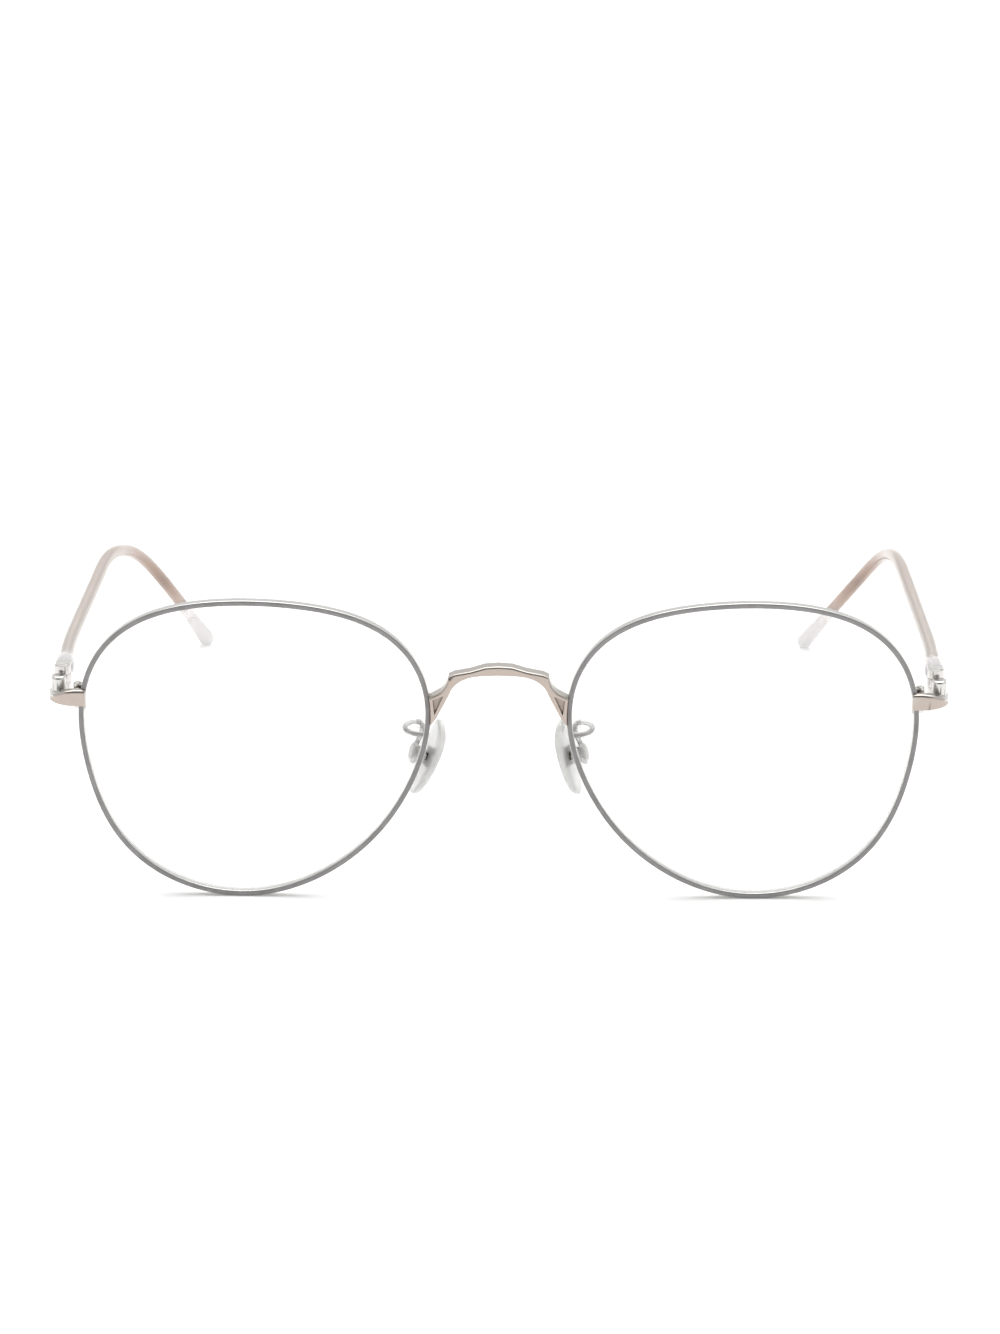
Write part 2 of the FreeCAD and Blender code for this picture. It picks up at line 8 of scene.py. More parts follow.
import logging
import math
from collections.abc import Callable
from dataclasses import dataclass, field
from enum import Enum

import bmesh
import bpy
from mathutils import Euler, Matrix, Vector

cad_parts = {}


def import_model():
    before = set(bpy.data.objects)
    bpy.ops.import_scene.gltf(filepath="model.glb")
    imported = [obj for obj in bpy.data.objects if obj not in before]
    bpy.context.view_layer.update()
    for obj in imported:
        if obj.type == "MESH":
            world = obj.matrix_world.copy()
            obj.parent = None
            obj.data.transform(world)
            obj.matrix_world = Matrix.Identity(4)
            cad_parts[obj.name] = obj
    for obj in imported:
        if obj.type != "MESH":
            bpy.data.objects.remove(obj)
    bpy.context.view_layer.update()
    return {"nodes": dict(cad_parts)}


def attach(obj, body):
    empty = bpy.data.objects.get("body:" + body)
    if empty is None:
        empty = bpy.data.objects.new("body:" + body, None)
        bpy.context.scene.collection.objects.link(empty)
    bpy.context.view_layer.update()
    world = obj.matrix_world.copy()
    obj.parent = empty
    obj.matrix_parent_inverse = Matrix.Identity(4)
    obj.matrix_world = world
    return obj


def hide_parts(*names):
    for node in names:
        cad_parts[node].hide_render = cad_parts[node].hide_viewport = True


LOG = logging.getLogger("eyeglasses")
MM = 0.001
FRONT_PLANE = -63.725  # mm, front plane of the rims in the row frame
SAME_PLACE = 1e-7  # metres, points closer than this are one point
UPWARD_GAIN = 1.4  # a face leaning back 45 degrees already counts as looking up
SIDEWAYS = 0.3  # share of a normal that may point back on a wall seen from the front
FORWARDS = 0.9  # share of a normal that points forwards on a recess floor
WIRE_CREASE_DEG = 50  # edges of a swept wire that turn more than this stay crisp
COLOUR_A, COLOUR_B, MIXED_COLOUR = 6, 7, 2  # places of a mix node's colour sockets
Socket = bpy.types.NodeSocket


class Side(Enum):
    """Wearer's side, as the sign of X."""

    RIGHT = -1
    LEFT = 1

    def node(self, piece: str) -> str:
        """Name of a paired CAD node or piece on this side."""
        return f"{self.name.lower()}_{piece}"


class Grain(Enum):
    """Direction of the fine lines that drawing or brushing leaves, as scales along X, Y and Z."""

    AROUND_FRONT = (0.02, 1.0, 0.02)
    ALONG_TEMPLE = (1.0, 0.02, 1.0)


# ---------------------------------------------------------------- shared helpers
def at(x: float, y: float, z: float) -> Vector:
    """Point given in mm from the front plane, as metres in the row frame."""
    return Vector((x, y + FRONT_PLANE, z)) * MM


def linear(hex_colour: str) -> tuple[float, float, float, float]:
    """Turn an sRGB hex colour into linear RGBA.

    Args:
        hex_colour: Six hex digits with a leading hash.

    Returns:
        Linear red, green, blue and an alpha of one.
    """
    parts = [int(hex_colour[i : i + 2], 16) / 255 for i in (1, 3, 5)]
    bent = [p / 12.92 if p <= 0.04045 else ((p + 0.055) / 1.055) ** 2.4 for p in parts]
    return (*bent, 1.0)


def add_node(tree: bpy.types.NodeTree, kind: str, settings: dict, inputs: dict) -> bpy.types.Node:
    """Add one node with its settings, values and links.

    Args:
        tree: Shader, world or geometry tree that gets the node.
        kind: Blender's type name of the node.
        settings: Properties of the node by name.
        inputs: Values or source sockets by input name or index.

    Returns:
        The new node.
    """
    node = tree.nodes.new(kind)
    for name, value in settings.items():
        setattr(node, name, value)
    for key, value in inputs.items():
        if isinstance(value, Socket):
            tree.links.new(value, node.inputs[key])
        else:
            node.inputs[key].default_value = value
    return node


def colour_ramp(tree: bpy.types.NodeTree, factor: Socket, stops: list[tuple[float, str]]) -> Socket:
    """Colour ramp from hex stops.

    Args:
        tree: Shader tree.
        factor: Socket that drives the ramp.
        stops: Positions from 0 to 1 with their hex colours, in order.

    Returns:
        The ramp's colour socket.
    """
    node = add_node(tree, "ShaderNodeValToRGB", {}, {"Fac": factor})
    elements = node.color_ramp.elements
    while len(elements) < len(stops):
        elements.new(1.0)
    for element, (position, colour) in zip(elements, stops):
        element.position = position
        element.color = linear(colour)
    return node.outputs["Color"]


def blend(tree: bpy.types.NodeTree, factor: Socket, low: object, high: object) -> Socket:
    """Mix two colours by a factor.

    Args:
        tree: Shader or world tree.
        factor: Socket that runs from 0 for the low colour to 1 for the high one.
        low: Colour or colour socket at 0.
        high: Colour or colour socket at 1.

    Returns:
        The mixed colour socket.
    """
    node = add_node(
        tree,
        "ShaderNodeMix",
        {"data_type": "RGBA"},
        {"Factor": factor, COLOUR_A: low, COLOUR_B: high},
    )
    return node.outputs[MIXED_COLOUR]


def spread(tree: bpy.types.NodeTree, value: Socket, low: float, high: float) -> Socket:
    """Map a socket that runs from 0 to 1 to another span.

    Args:
        tree: Shader tree.
        value: Socket to map.
        low: Result at 0.
        high: Result at 1.

    Returns:
        The mapped socket.
    """
    node = add_node(
        tree, "ShaderNodeMapRange", {}, {"Value": value, "To Min": low, "To Max": high}
    )
    return node.outputs["Result"]


def noise(
    tree: bpy.types.NodeTree,
    size_mm: float,
    detail: float = 2.0,
    stretch: tuple[float, float, float] = (1.0, 1.0, 1.0),
) -> Socket:
    """Noise on object coordinates.

    Args:
        tree: Shader tree.
        size_mm: Real size of one grain in millimetres.
        detail: Octaves of finer noise.
        stretch: Scale of the pattern along X, Y and Z.

    Returns:
        The noise factor socket.
    """
    place = add_node(tree, "ShaderNodeTexCoord", {}, {})
    turned = add_node(
        tree, "ShaderNodeMapping", {}, {"Vector": place.outputs["Object"], "Scale": stretch}
    )
    made = add_node(
        tree,
        "ShaderNodeTexNoise",
        {},
        {"Vector": turned.outputs["Vector"], "Scale": 1 / (size_mm * MM), "Detail": detail},
    )
    return made.outputs["Fac"]


def bump(tree: bpy.types.NodeTree, height: Socket, depth_mm: float, strength: float) -> Socket:
    """Turn a height into a shading normal.

    Args:
        tree: Shader tree.
        height: Height socket, from 0 to 1.
        depth_mm: Real depth of the relief in millimetres.
        strength: Share of the relief that shows.

    Returns:
        The normal socket.
    """
    node = add_node(
        tree,
        "ShaderNodeBump",
        {},
        {"Height": height, "Distance": depth_mm * MM, "Strength": strength},
    )
    return node.outputs["Normal"]


def stored(tree: bpy.types.NodeTree, name: str) -> Socket:
    """Factor socket of an attribute kept on the piece's mesh."""
    node = add_node(tree, "ShaderNodeAttribute", {"attribute_name": name}, {})
    return node.outputs["Fac"]


# ---------------------------------------------------------------- finishes
@dataclass(frozen=True)
class Finish:
    """One surface finish: its material's name and the name of the slot it belongs to."""

    name: str
    slot: str

    def shade(self, tree: bpy.types.NodeTree) -> bpy.types.Node:
        """Build the surface shader in an empty tree and return it."""
        raise NotImplementedError

    def material(self) -> bpy.types.Material:
        """Find the Blender material, or build it on first use.

        Returns:
            The material.
        """
        found = bpy.data.materials.get(self.name)
        if found:
            return found
        made = bpy.data.materials.new(self.name)
        made.use_nodes = True
        made.node_tree.nodes.clear()
        shader = self.shade(made.node_tree)
        add_node(
            made.node_tree,
            "ShaderNodeOutputMaterial",
            {},
            {"Surface": shader.outputs["BSDF"]},
        )
        return made


@dataclass(frozen=True)
class SprayedLacquer(Finish):
    """Thin metallic lacquer sprayed on the rim's face: a satin grey with a faint orange peel."""

    light: str = "#929090"
    dark: str = "#848282"
    peel_mm: float = 0.22
    roughness: tuple[float, float] = (0.34, 0.46)

    def shade(self, tree: bpy.types.NodeTree) -> bpy.types.Node:
        """Slow shade changes over a fine peel.

        Args:
            tree: Empty shader tree.

        Returns:
            The surface shader.
        """
        drift = noise(tree, size_mm=2.5, detail=3.0)
        peel = noise(tree, self.peel_mm, detail=2.0)
        colour = colour_ramp(tree, drift, [(0.3, self.dark), (0.7, self.light)])
        return add_node(
            tree,
            "ShaderNodeBsdfPrincipled",
            {},
            {
                "Base Color": colour,
                "Metallic": 0.6,
                "Roughness": spread(tree, peel, *self.roughness),
                "Normal": bump(tree, peel, depth_mm=0.006, strength=0.35),
            },
        )


@dataclass(frozen=True)
class PlatedMetal(Finish):
    """Plated wire alloy with the fine lines of drawing or brushing.

    The face colour turns to the top colour where the surface looks up: on the champagne pieces a
    silver top plating, on the others painted light from above. Rounded edges are lighter as a
    painted highlight, and floors that face forwards deep in pockets are darker as painted shade.
    """

    face: str = "#c8c6c2"
    # top colour: a silver top plating on champagne, painted light from above on the other metals
    top: str = "#d2d2cf"
    # colour of the painted highlight on rounded edges
    edge_highlight: str = "#e6e4e0"
    # colour of the painted shade on floors deep in pockets
    recess_shade: str = "#a0958c"
    grain: Grain = Grain.AROUND_FRONT
    line_mm: float = 0.11  # real lines are about 0.03 mm, too fine to show
    roughness: tuple[float, float] = (0.2, 0.32)

    def shade(self, tree: bpy.types.NodeTree) -> bpy.types.Node:
        """Metal with stretched lines, a tone drift and painted top light, edge highlights and pocket
        shade.

        Args:
            tree: Empty shader tree.

        Returns:
            The surface shader.
        """
        lines = noise(tree, self.line_mm, detail=3.0, stretch=self.grain.value)
        drift = noise(tree, size_mm=1.8, detail=2.0)
        # where the surface looks up: top plating on champagne, painted light from above elsewhere
        top_plating_and_light = stored(tree, "top_plating_and_light")
        edge = stored(tree, "edge")
        base = blend(tree, top_plating_and_light, linear(self.face), linear(self.top))
        toned = add_node(
            tree,
            "ShaderNodeHueSaturation",
            {},
            {"Color": base, "Value": spread(tree, drift, low=0.92, high=1.06)},
        ).outputs["Color"]
        # painted highlight on the rounded edges
        edge_highlight = add_node(
            tree, "ShaderNodeMath", {"operation": "MULTIPLY"}, {0: edge, 1: 0.55}
        ).outputs["Value"]
        bright = blend(tree, edge_highlight, toned, linear(self.edge_highlight))
        return add_node(
            tree,
            "ShaderNodeBsdfPrincipled",
            {},
            {
                # painted shade on floors deep in pockets
                "Base Color": blend(tree, stored(tree, "recess_shade"), bright, linear(self.recess_shade)),
                "Metallic": 1.0,
                "Roughness": spread(tree, lines, *self.roughness),
                "Normal": bump(tree, lines, depth_mm=0.004, strength=0.25),
            },
        )


@dataclass(frozen=True)
class TempleWire(Finish):
    """Satin wire under the sleeve, champagne in front, copper-brown down the drop partly as painted
    shade.
    """

    line_mm: float = 0.11

    def shade(self, tree: bpy.types.NodeTree) -> bpy.types.Node:
        """Drawn metal whose tone changes along the temple, darker down the drop partly as painted
        shade.

        Args:
            tree: Empty shader tree.

        Returns:
            The surface shader.
        """
        along = stored(tree, "along")
        lines = noise(tree, self.line_mm, detail=3.0, stretch=Grain.ALONG_TEMPLE.value)
        # darker copper-brown stops down the drop: partly the wire's own tone, partly painted shade
        colour = colour_ramp(
            tree,
            along,
            [
                (0.0, "#e4dcd6"),
                (0.5, "#e2d6cd"),
                (0.62, "#dcc8ba"),
                (0.74, "#b98b68"),
                (0.88, "#b48c70"),
                (1.0, "#cdbfb8"),
            ],
        )
        return add_node(
            tree,
            "ShaderNodeBsdfPrincipled",
            {},
            {
                "Base Color": colour,
                "Metallic": 1.0,
                "Roughness": spread(tree, lines, low=0.3, high=0.45),
                "Normal": bump(tree, lines, depth_mm=0.004, strength=0.3),
            },
        )


@dataclass(frozen=True)
class ClearSleeve(Finish):
    """Extruded clear tube: glossy, slightly milky, greyer and denser at the moulded tip."""

    def shade(self, tree: bpy.types.NodeTree) -> bpy.types.Node:
        """Clear plastic with faint haze, flow lines and a mauve-grey tip.

        Args:
            tree: Empty shader tree.

        Returns:
            The surface shader.
        """
        along = stored(tree, "along")
        flow = noise(tree, size_mm=0.5, detail=2.0, stretch=Grain.ALONG_TEMPLE.value)
        colour = colour_ramp(
            tree,
            along,
            [
                (0.0, "#dddbdd"),
                (0.06, "#f6f3f0"),
                (0.88, "#f1ebe7"),
                (0.93, "#cdc4c1"),
                (1.0, "#bfbaba"),
            ],
        )
        clear = colour_ramp(
            tree,
            along,
            [
                (0.0, "#969696"),
                (0.03, "#a0a0a0"),
                (0.05, "#f7f7f7"),
                (0.9, "#f7f7f7"),
                (0.94, "#a8a8a8"),
            ],
        )
        return add_node(
            tree,
            "ShaderNodeBsdfPrincipled",
            {},
            {
                "Base Color": colour,
                "Roughness": spread(tree, flow, low=0.12, high=0.22),
                "IOR": 1.49,
                "Transmission Weight": clear,
                "Normal": bump(tree, flow, depth_mm=0.003, strength=0.2),
            },
        )


@dataclass(frozen=True)
class SoftSilicone(Finish):
    """Moulded clear silicone: soft sheen, a cloudy body and a fine skin texture."""

    def shade(self, tree: bpy.types.NodeTree) -> bpy.types.Node:
        """Clear rubber with haze that varies slowly through the pad.

        Args:
            tree: Empty shader tree.

        Returns:
            The surface shader.
        """
        haze = noise(tree, size_mm=1.5, detail=2.0)
        skin = noise(tree, size_mm=0.15, detail=2.0)
        return add_node(
            tree,
            "ShaderNodeBsdfPrincipled",
            {},
            {
                "Base Color": colour_ramp(tree, haze, [(0.3, "#f4f4f2"), (0.7, "#fafaf8")]),
                "Roughness": spread(tree, skin, low=0.08, high=0.18),
                "IOR": 1.3,
                "Transmission Weight": 0.5,
                "Normal": bump(tree, skin, depth_mm=0.003, strength=0.15),
            },
        )


@dataclass(frozen=True)
class LensResin(Finish):
    """Cast clear resin with a polished, coated face: nearly invisible, with faint reflections.

    Most of the light goes straight through, as it does through a thin coated lens.
    """

    def shade(self, tree: bpy.types.NodeTree) -> bpy.types.Node:
        """Clear resin with the faintest polishing ripple.

        Args:
            tree: Empty shader tree.

        Returns:
            The surface shader.
        """
        ripple = noise(tree, size_mm=6.0, detail=1.0)
        return add_node(
            tree,
            "ShaderNodeBsdfPrincipled",
            {},
            {
                "Base Color": colour_ramp(tree, ripple, [(0.2, "#fdfefe"), (0.8, "#ffffff")]),
                "Roughness": 0.0,
                "IOR": 1.5,
                "Transmission Weight": 1.0,
                "Alpha": 0.25,
                "Normal": bump(tree, ripple, depth_mm=0.001, strength=0.05),
            },
        )


@dataclass(frozen=True)
class GroundEdge(Finish):
    """Edge of the lens as the grinding wheel leaves it: white frosted resin."""

    grit_mm: float = 0.12  # the wheel's grit is finer, too fine to show

    def shade(self, tree: bpy.types.NodeTree) -> bpy.types.Node:
        """Frosted resin with a gritty bump.

        Args:
            tree: Empty shader tree.

        Returns:
            The surface shader.
        """
        grit = noise(tree, self.grit_mm, detail=2.0)
        return add_node(
            tree,
            "ShaderNodeBsdfPrincipled",
            {},
            {
                "Base Color": colour_ramp(tree, grit, [(0.3, "#e9ebeb"), (0.7, "#f8f9f9")]),
                "Roughness": spread(tree, grit, low=0.5, high=0.7),
                "IOR": 1.5,
                "Transmission Weight": 0.6,
                "Normal": bump(tree, grit, depth_mm=0.01, strength=0.5),
            },
        )


@dataclass(frozen=True)
class SeamlessPaper(Finish):
    """White seamless paper under the glasses, lit a little from below."""

    def shade(self, tree: bpy.types.NodeTree) -> bpy.types.Node:
        """White paper with a trace of fibre.

        Args:
            tree: Empty shader tree.

        Returns:
            The surface shader.
        """
        fibre = noise(tree, size_mm=1.2, detail=3.0)
        return add_node(
            tree,
            "ShaderNodeBsdfPrincipled",
            {},
            {
                "Base Color": colour_ramp(tree, fibre, [(0.2, "#fafafa"), (0.8, "#fdfdfd")]),
                "Roughness": spread(tree, fibre, low=0.85, high=0.95),
                "Specular IOR Level": 0.1,
                "Emission Color": colour_ramp(tree, fibre, [(0.2, "#fafafa"), (0.8, "#ffffff")]),
                "Emission Strength": 0.12,
            },
        )


LACQUER = SprayedLacquer("satin_grey_rim_lacquer", "rim")
RIM_METAL = PlatedMetal("drawn_nickel_silver_rim_wire", "rim", face="#c4c2be", top="#cfcfcc")
CHAMPAGNE = PlatedMetal(
    "satin_champagne_plating",
    "champagne",
    face="#aa9a8f",
    top="#b2b3af",
    edge_highlight="#bfb5ad",
    roughness=(0.24, 0.36),
)
BRIGHT = PlatedMetal("bright_nickel_plating", "hardware", face="#bab7b4", top="#c6c5c2")
BRIGHT_TEMPLE = PlatedMetal(
    "bright_nickel_plating_hinge",
    "hardware",
    face="#bab7b4",
    top="#c6c5c2",
    grain=Grain.ALONG_TEMPLE,
)
# darker copy of the nickel plating: painted shade on the pad arms, boxes and screws
SHADED = PlatedMetal(
    "nickel_pad_hardware_painted_shade",
    "hardware",
    face="#93918f",
    top="#a09e9c",
    edge_highlight="#b0aeab",
    roughness=(0.26, 0.36),
)
# near-black colour: painted dark reflection on the steel insert seen in the pad
INSERT_METAL = PlatedMetal(
    "stamped_steel_insert", "insert", face="#23211f", top="#4d4a47", edge_highlight="#6a6764"
)
WIRE = TempleWire("satin_champagne_temple_wire", "temple_wire")
SLEEVE = ClearSleeve("clear_extruded_sleeve", "sleeve")
SILICONE = SoftSilicone("clear_moulded_silicone", "pad")
RESIN = LensResin("clear_cast_lens_resin", "lens")
GROUND = GroundEdge("ground_lens_edge", "lens")
PAPER = SeamlessPaper("white_seamless_paper", "")


# ---------------------------------------------------------------- making pieces
def keep_attribute(mesh: bpy.types.Mesh, name: str, values: list[float]) -> None:
    """Store one float for each vertex under a name that finishes read."""
    layer = mesh.attributes.get(name) or mesh.attributes.new(name, "FLOAT", "POINT")
    layer.data.foreach_set("value", values)


def mark_upward(mesh: bpy.types.Mesh) -> None:
    """Keep how far each vertex faces up, 0 on walls to 1 on tops, for the top colour: plating and
    painted light.
    """
    lifts = [max(0.0, min(1.0, v.normal.z * UPWARD_GAIN)) for v in mesh.vertices]
    keep_attribute(mesh, "top_plating_and_light", lifts)


def keep_flats_flat(piece: bpy.types.Object) -> None:
    """Weight the piece's normals by face area, so that flats stay flat beside rounded edges.

    Args:
        piece: Object whose mesh is replaced by one with the new normals.
    """
    modifier = piece.modifiers.new("flat_faces", "WEIGHTED_NORMAL")
    modifier.keep_sharp = True
    graph = bpy.context.evaluated_depsgraph_get()
    mesh = bpy.data.meshes.new_from_object(piece.evaluated_get(graph))
    piece.modifiers.clear()
    plain = piece.data
    mesh.name = plain.name + "_flats"
    piece.data = mesh
    bpy.data.meshes.remove(plain)


def mark_recess_shade(mesh: bpy.types.Mesh, depth_mm: float) -> None:
    """Keep which vertices lie on a forward floor deeper than a depth from the front, to get painted
    shade.

    Args:
        mesh: Mesh in the row frame.
        depth_mm: Depth behind the foremost point at which a floor gets painted shade.
    """
    deep = min(v.co.y for v in mesh.vertices) + depth_mm * MM
    floor = set()
    for polygon in mesh.polygons:
        if polygon.normal.y < -FORWARDS and polygon.center.y > deep:
            floor.update(polygon.vertices)
    keep_attribute(mesh, "recess_shade", [float(i in floor) for i in range(len(mesh.vertices))])


def seat(
    piece: bpy.types.Object,
    body: str,
    replaced: tuple[str, ...],
) -> bpy.types.Object:
    """Attach a finished piece to its body, hide the CAD nodes it stands for, and report it.

    Args:
        piece: Finished mesh object.
        body: CAD body that it rides on.
        replaced: CAD nodes that it stands for.

    Returns:
        The same piece.
    """
    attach(piece, body)
    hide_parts(*replaced)
    LOG.info("%s: %d faces on %s", piece.name, len(piece.data.polygons), body)
    return piece


def mesh_piece(
    name: str, points: list[Vector], faces: list[tuple[int, ...]], finishes: list[Finish]
) -> bpy.types.Object:
    """Make a smooth mesh object.

    Args:
        name: Name of the piece.
        points: Corner points in metres in the row frame.
        faces: Point numbers of each face.
        finishes: One finish for each material slot.

    Returns:
        The new object, linked to the scene.
    """
    mesh = bpy.data.meshes.new(name)
    mesh.from_pydata([tuple(p) for p in points], [], faces)
    mesh.shade_smooth()
    for finish in finishes:
        mesh.materials.append(finish.material())
    piece = bpy.data.objects.new(name, mesh)
    bpy.context.scene.collection.objects.link(piece)
    return piece


def face_outwards(mesh: bpy.types.Mesh) -> None:
    """Merge doubles of a closed mesh and point its faces outwards.

    Args:
        mesh: Mesh that is changed in place.
    """
    work = bmesh.new()
    work.from_mesh(mesh)
    bmesh.ops.remove_doubles(work, verts=work.verts, dist=SAME_PLACE)
    bmesh.ops.recalc_face_normals(work, faces=work.faces)
    work.to_mesh(mesh)
    work.free()


def stack_rings(rings: list[list[Vector]]) -> tuple[list[Vector], list[tuple[int, ...]]]:
    """Join closed rings of equal length into a skin with a pole point at each end.

    Args:
        rings: Rings of points; the first and last hold one point repeated.

    Returns:
        Points and faces of the closed skin.
    """
    count = len(rings[1])
    points = [rings[0][0]]
    for ring in rings[1:-1]:
        points.extend(ring)
    points.append(rings[-1][0])
    faces: list[tuple[int, ...]] = []
    last = len(points) - 1
    for i in range(count):
        j = (i + 1) % count
        faces.append((0, 1 + i, 1 + j))
        for k in range(len(rings) - 3):
            low, high = 1 + k * count, 1 + (k + 1) * count
            faces.append((low + i, high + i, high + j, low + j))
        top = 1 + (len(rings) - 3) * count
        faces.append((top + i, last, top + j))
    return points, faces


@dataclass
class SoftenedCopy:
    """A hard CAD piece redrawn with real edge breaks.

    Attributes:
        node: CAD node to copy and replace.
        body: CAD body that it rides on.
        finish: Surface finish.
        edge_mm: Width of the edge break.
        brow_mm: Width of the larger round where a wall meets a top, or zero for none.
        brow_back: Row-frame Y in metres behind which there is no larger round.
        brow_deep_mm: How far back the top has to reach to get the larger round.
        sharp_deg: Edges that turn by more than this are broken.
        crease_deg: Edges of the finished copy that turn by more than this stay crisp.
        flat_deg: Faces that turn by less than this are merged first.
        merge_mm: Points closer than this are merged first.
        brow_steps: Faces across the larger round.
        edge_steps: Faces across an edge break.
        level: Vertical share of a normal below which a face is a wall, above which a top.
        recess_mm: Depth at which a floor that faces forwards gets painted shade, or zero for none.
        lug: Finish of a lug soldered to the piece, if it has one.
        lug_start: Row-frame point above and behind which the lug lies.
    """

    node: str
    body: str
    finish: Finish
    edge_mm: float = 0.06
    brow_mm: float = 0.0
    brow_back: float = 0.0
    brow_deep_mm: float = 0.3
    sharp_deg: float = 32.0
    crease_deg: float = 40.0
    flat_deg: float = 0.8
    merge_mm: float = 0.002
    brow_steps: int = 6
    edge_steps: int = 3
    level: float = 0.2
    recess_shade_mm: float = 0.0
    lug: Finish | None = None
    lug_start: Vector = field(default_factory=Vector)

    def is_sharp(self, edge: bmesh.types.BMEdge) -> bool:
        """Whether an edge between two faces turns enough to be broken."""
        return len(edge.link_faces) == 2 and edge.calc_face_angle(0.0) > math.radians(self.sharp_deg)

    def is_brow(self, edge: bmesh.types.BMEdge) -> bool:
        """Say whether an edge joins a wall that looks forwards or sideways to a deep top.

        Args:
            edge: Edge of the mesh being worked on.

        Returns:
            True where the edge gets the larger round.
        """
        if not self.is_sharp(edge) or not edge.is_convex:
            return False
        if max(v.co.y for v in edge.verts) > self.brow_back:
            return False
        wall, top = sorted(edge.link_faces, key=lambda f: f.normal.z)
        reach = max(v.co.y for v in top.verts) - min(v.co.y for v in top.verts)
        upright = abs(wall.normal.z) < self.level < top.normal.z
        forwards = wall.normal.y < SIDEWAYS
        return upright and forwards and reach > self.brow_deep_mm * MM

    def round_edges(
        self,
        work: bmesh.types.BMesh,
        test: Callable[[bmesh.types.BMEdge], bool],
        width_mm: float,
        steps: int,
        clamp: bool,
    ) -> None:
        """Round every edge that passes a test, and mark the new surface for the painted edge
        highlight.

        Args:
            work: Mesh being worked on.
            test: Says whether an edge is rounded.
            width_mm: Width of the round on each side of the edge.
            steps: Number of faces across the round.
            clamp: Whether short edges nearby limit the width.
        """
        # mask of the painted highlight on the new rounded faces
        edge_highlight = work.verts.layers.float.get("edge") or work.verts.layers.float.new("edge")
        made = bmesh.ops.bevel(
            work,
            geom=[e for e in work.edges if test(e)],
            offset=width_mm * MM,
            offset_type="OFFSET",
            segments=steps,
            profile=0.5,
            affect="EDGES",
            clamp_overlap=clamp,
        )
        for polygon in made["faces"]:
            for vertex in polygon.verts:
                vertex[edge_highlight] = 1.0

    def build(self, source: bpy.types.Object) -> bpy.types.Object:
        """Copy the node's mesh, merge it, round its edges and seat it.

        Args:
            source: The CAD node's object.

        Returns:
            The finished piece.
        """
        work = bmesh.new()
        work.from_mesh(source.data)
        bmesh.ops.remove_doubles(work, verts=work.verts, dist=self.merge_mm * MM)
        bmesh.ops.dissolve_limit(
            work, angle_limit=math.radians(self.flat_deg), verts=work.verts, edges=work.edges
        )
        if self.brow_mm:
            self.round_edges(work, self.is_brow, self.brow_mm, self.brow_steps, False)
        self.round_edges(work, self.is_sharp, self.edge_mm, self.edge_steps, True)
        name = self.node + "_finished"
        mesh = bpy.data.meshes.new(name)
        work.to_mesh(mesh)
        work.free()
        mesh.shade_smooth()
        mesh.set_sharp_from_angle(angle=math.radians(self.crease_deg))
        mesh.materials.append(self.finish.material())
        mark_upward(mesh)
        if self.recess_shade_mm:
            mark_recess_shade(mesh, self.recess_shade_mm)
        if self.lug is not None:
            self.dress_lug(mesh)
        piece = bpy.data.objects.new(name, mesh)
        bpy.context.scene.collection.objects.link(piece)
        keep_flats_flat(piece)
        return seat(piece, self.body, (self.node,))

    def dress_lug(self, mesh: bpy.types.Mesh) -> None:
        """Give the soldered lug, above and behind its start, the second finish.

        Args:
            mesh: Mesh of the finished piece.
        """
        mesh.materials.append(self.lug.material())
        for polygon in mesh.polygons:
            if polygon.center.y > self.lug_start.y and polygon.center.z > self.lug_start.z:
                polygon.material_index = 1


# ---------------------------------------------------------------- geometry-node wires
class Section(Enum):
    """Cross-section that a wire tree sweeps."""

    ROUND = "round"
    STRIP = "strip"


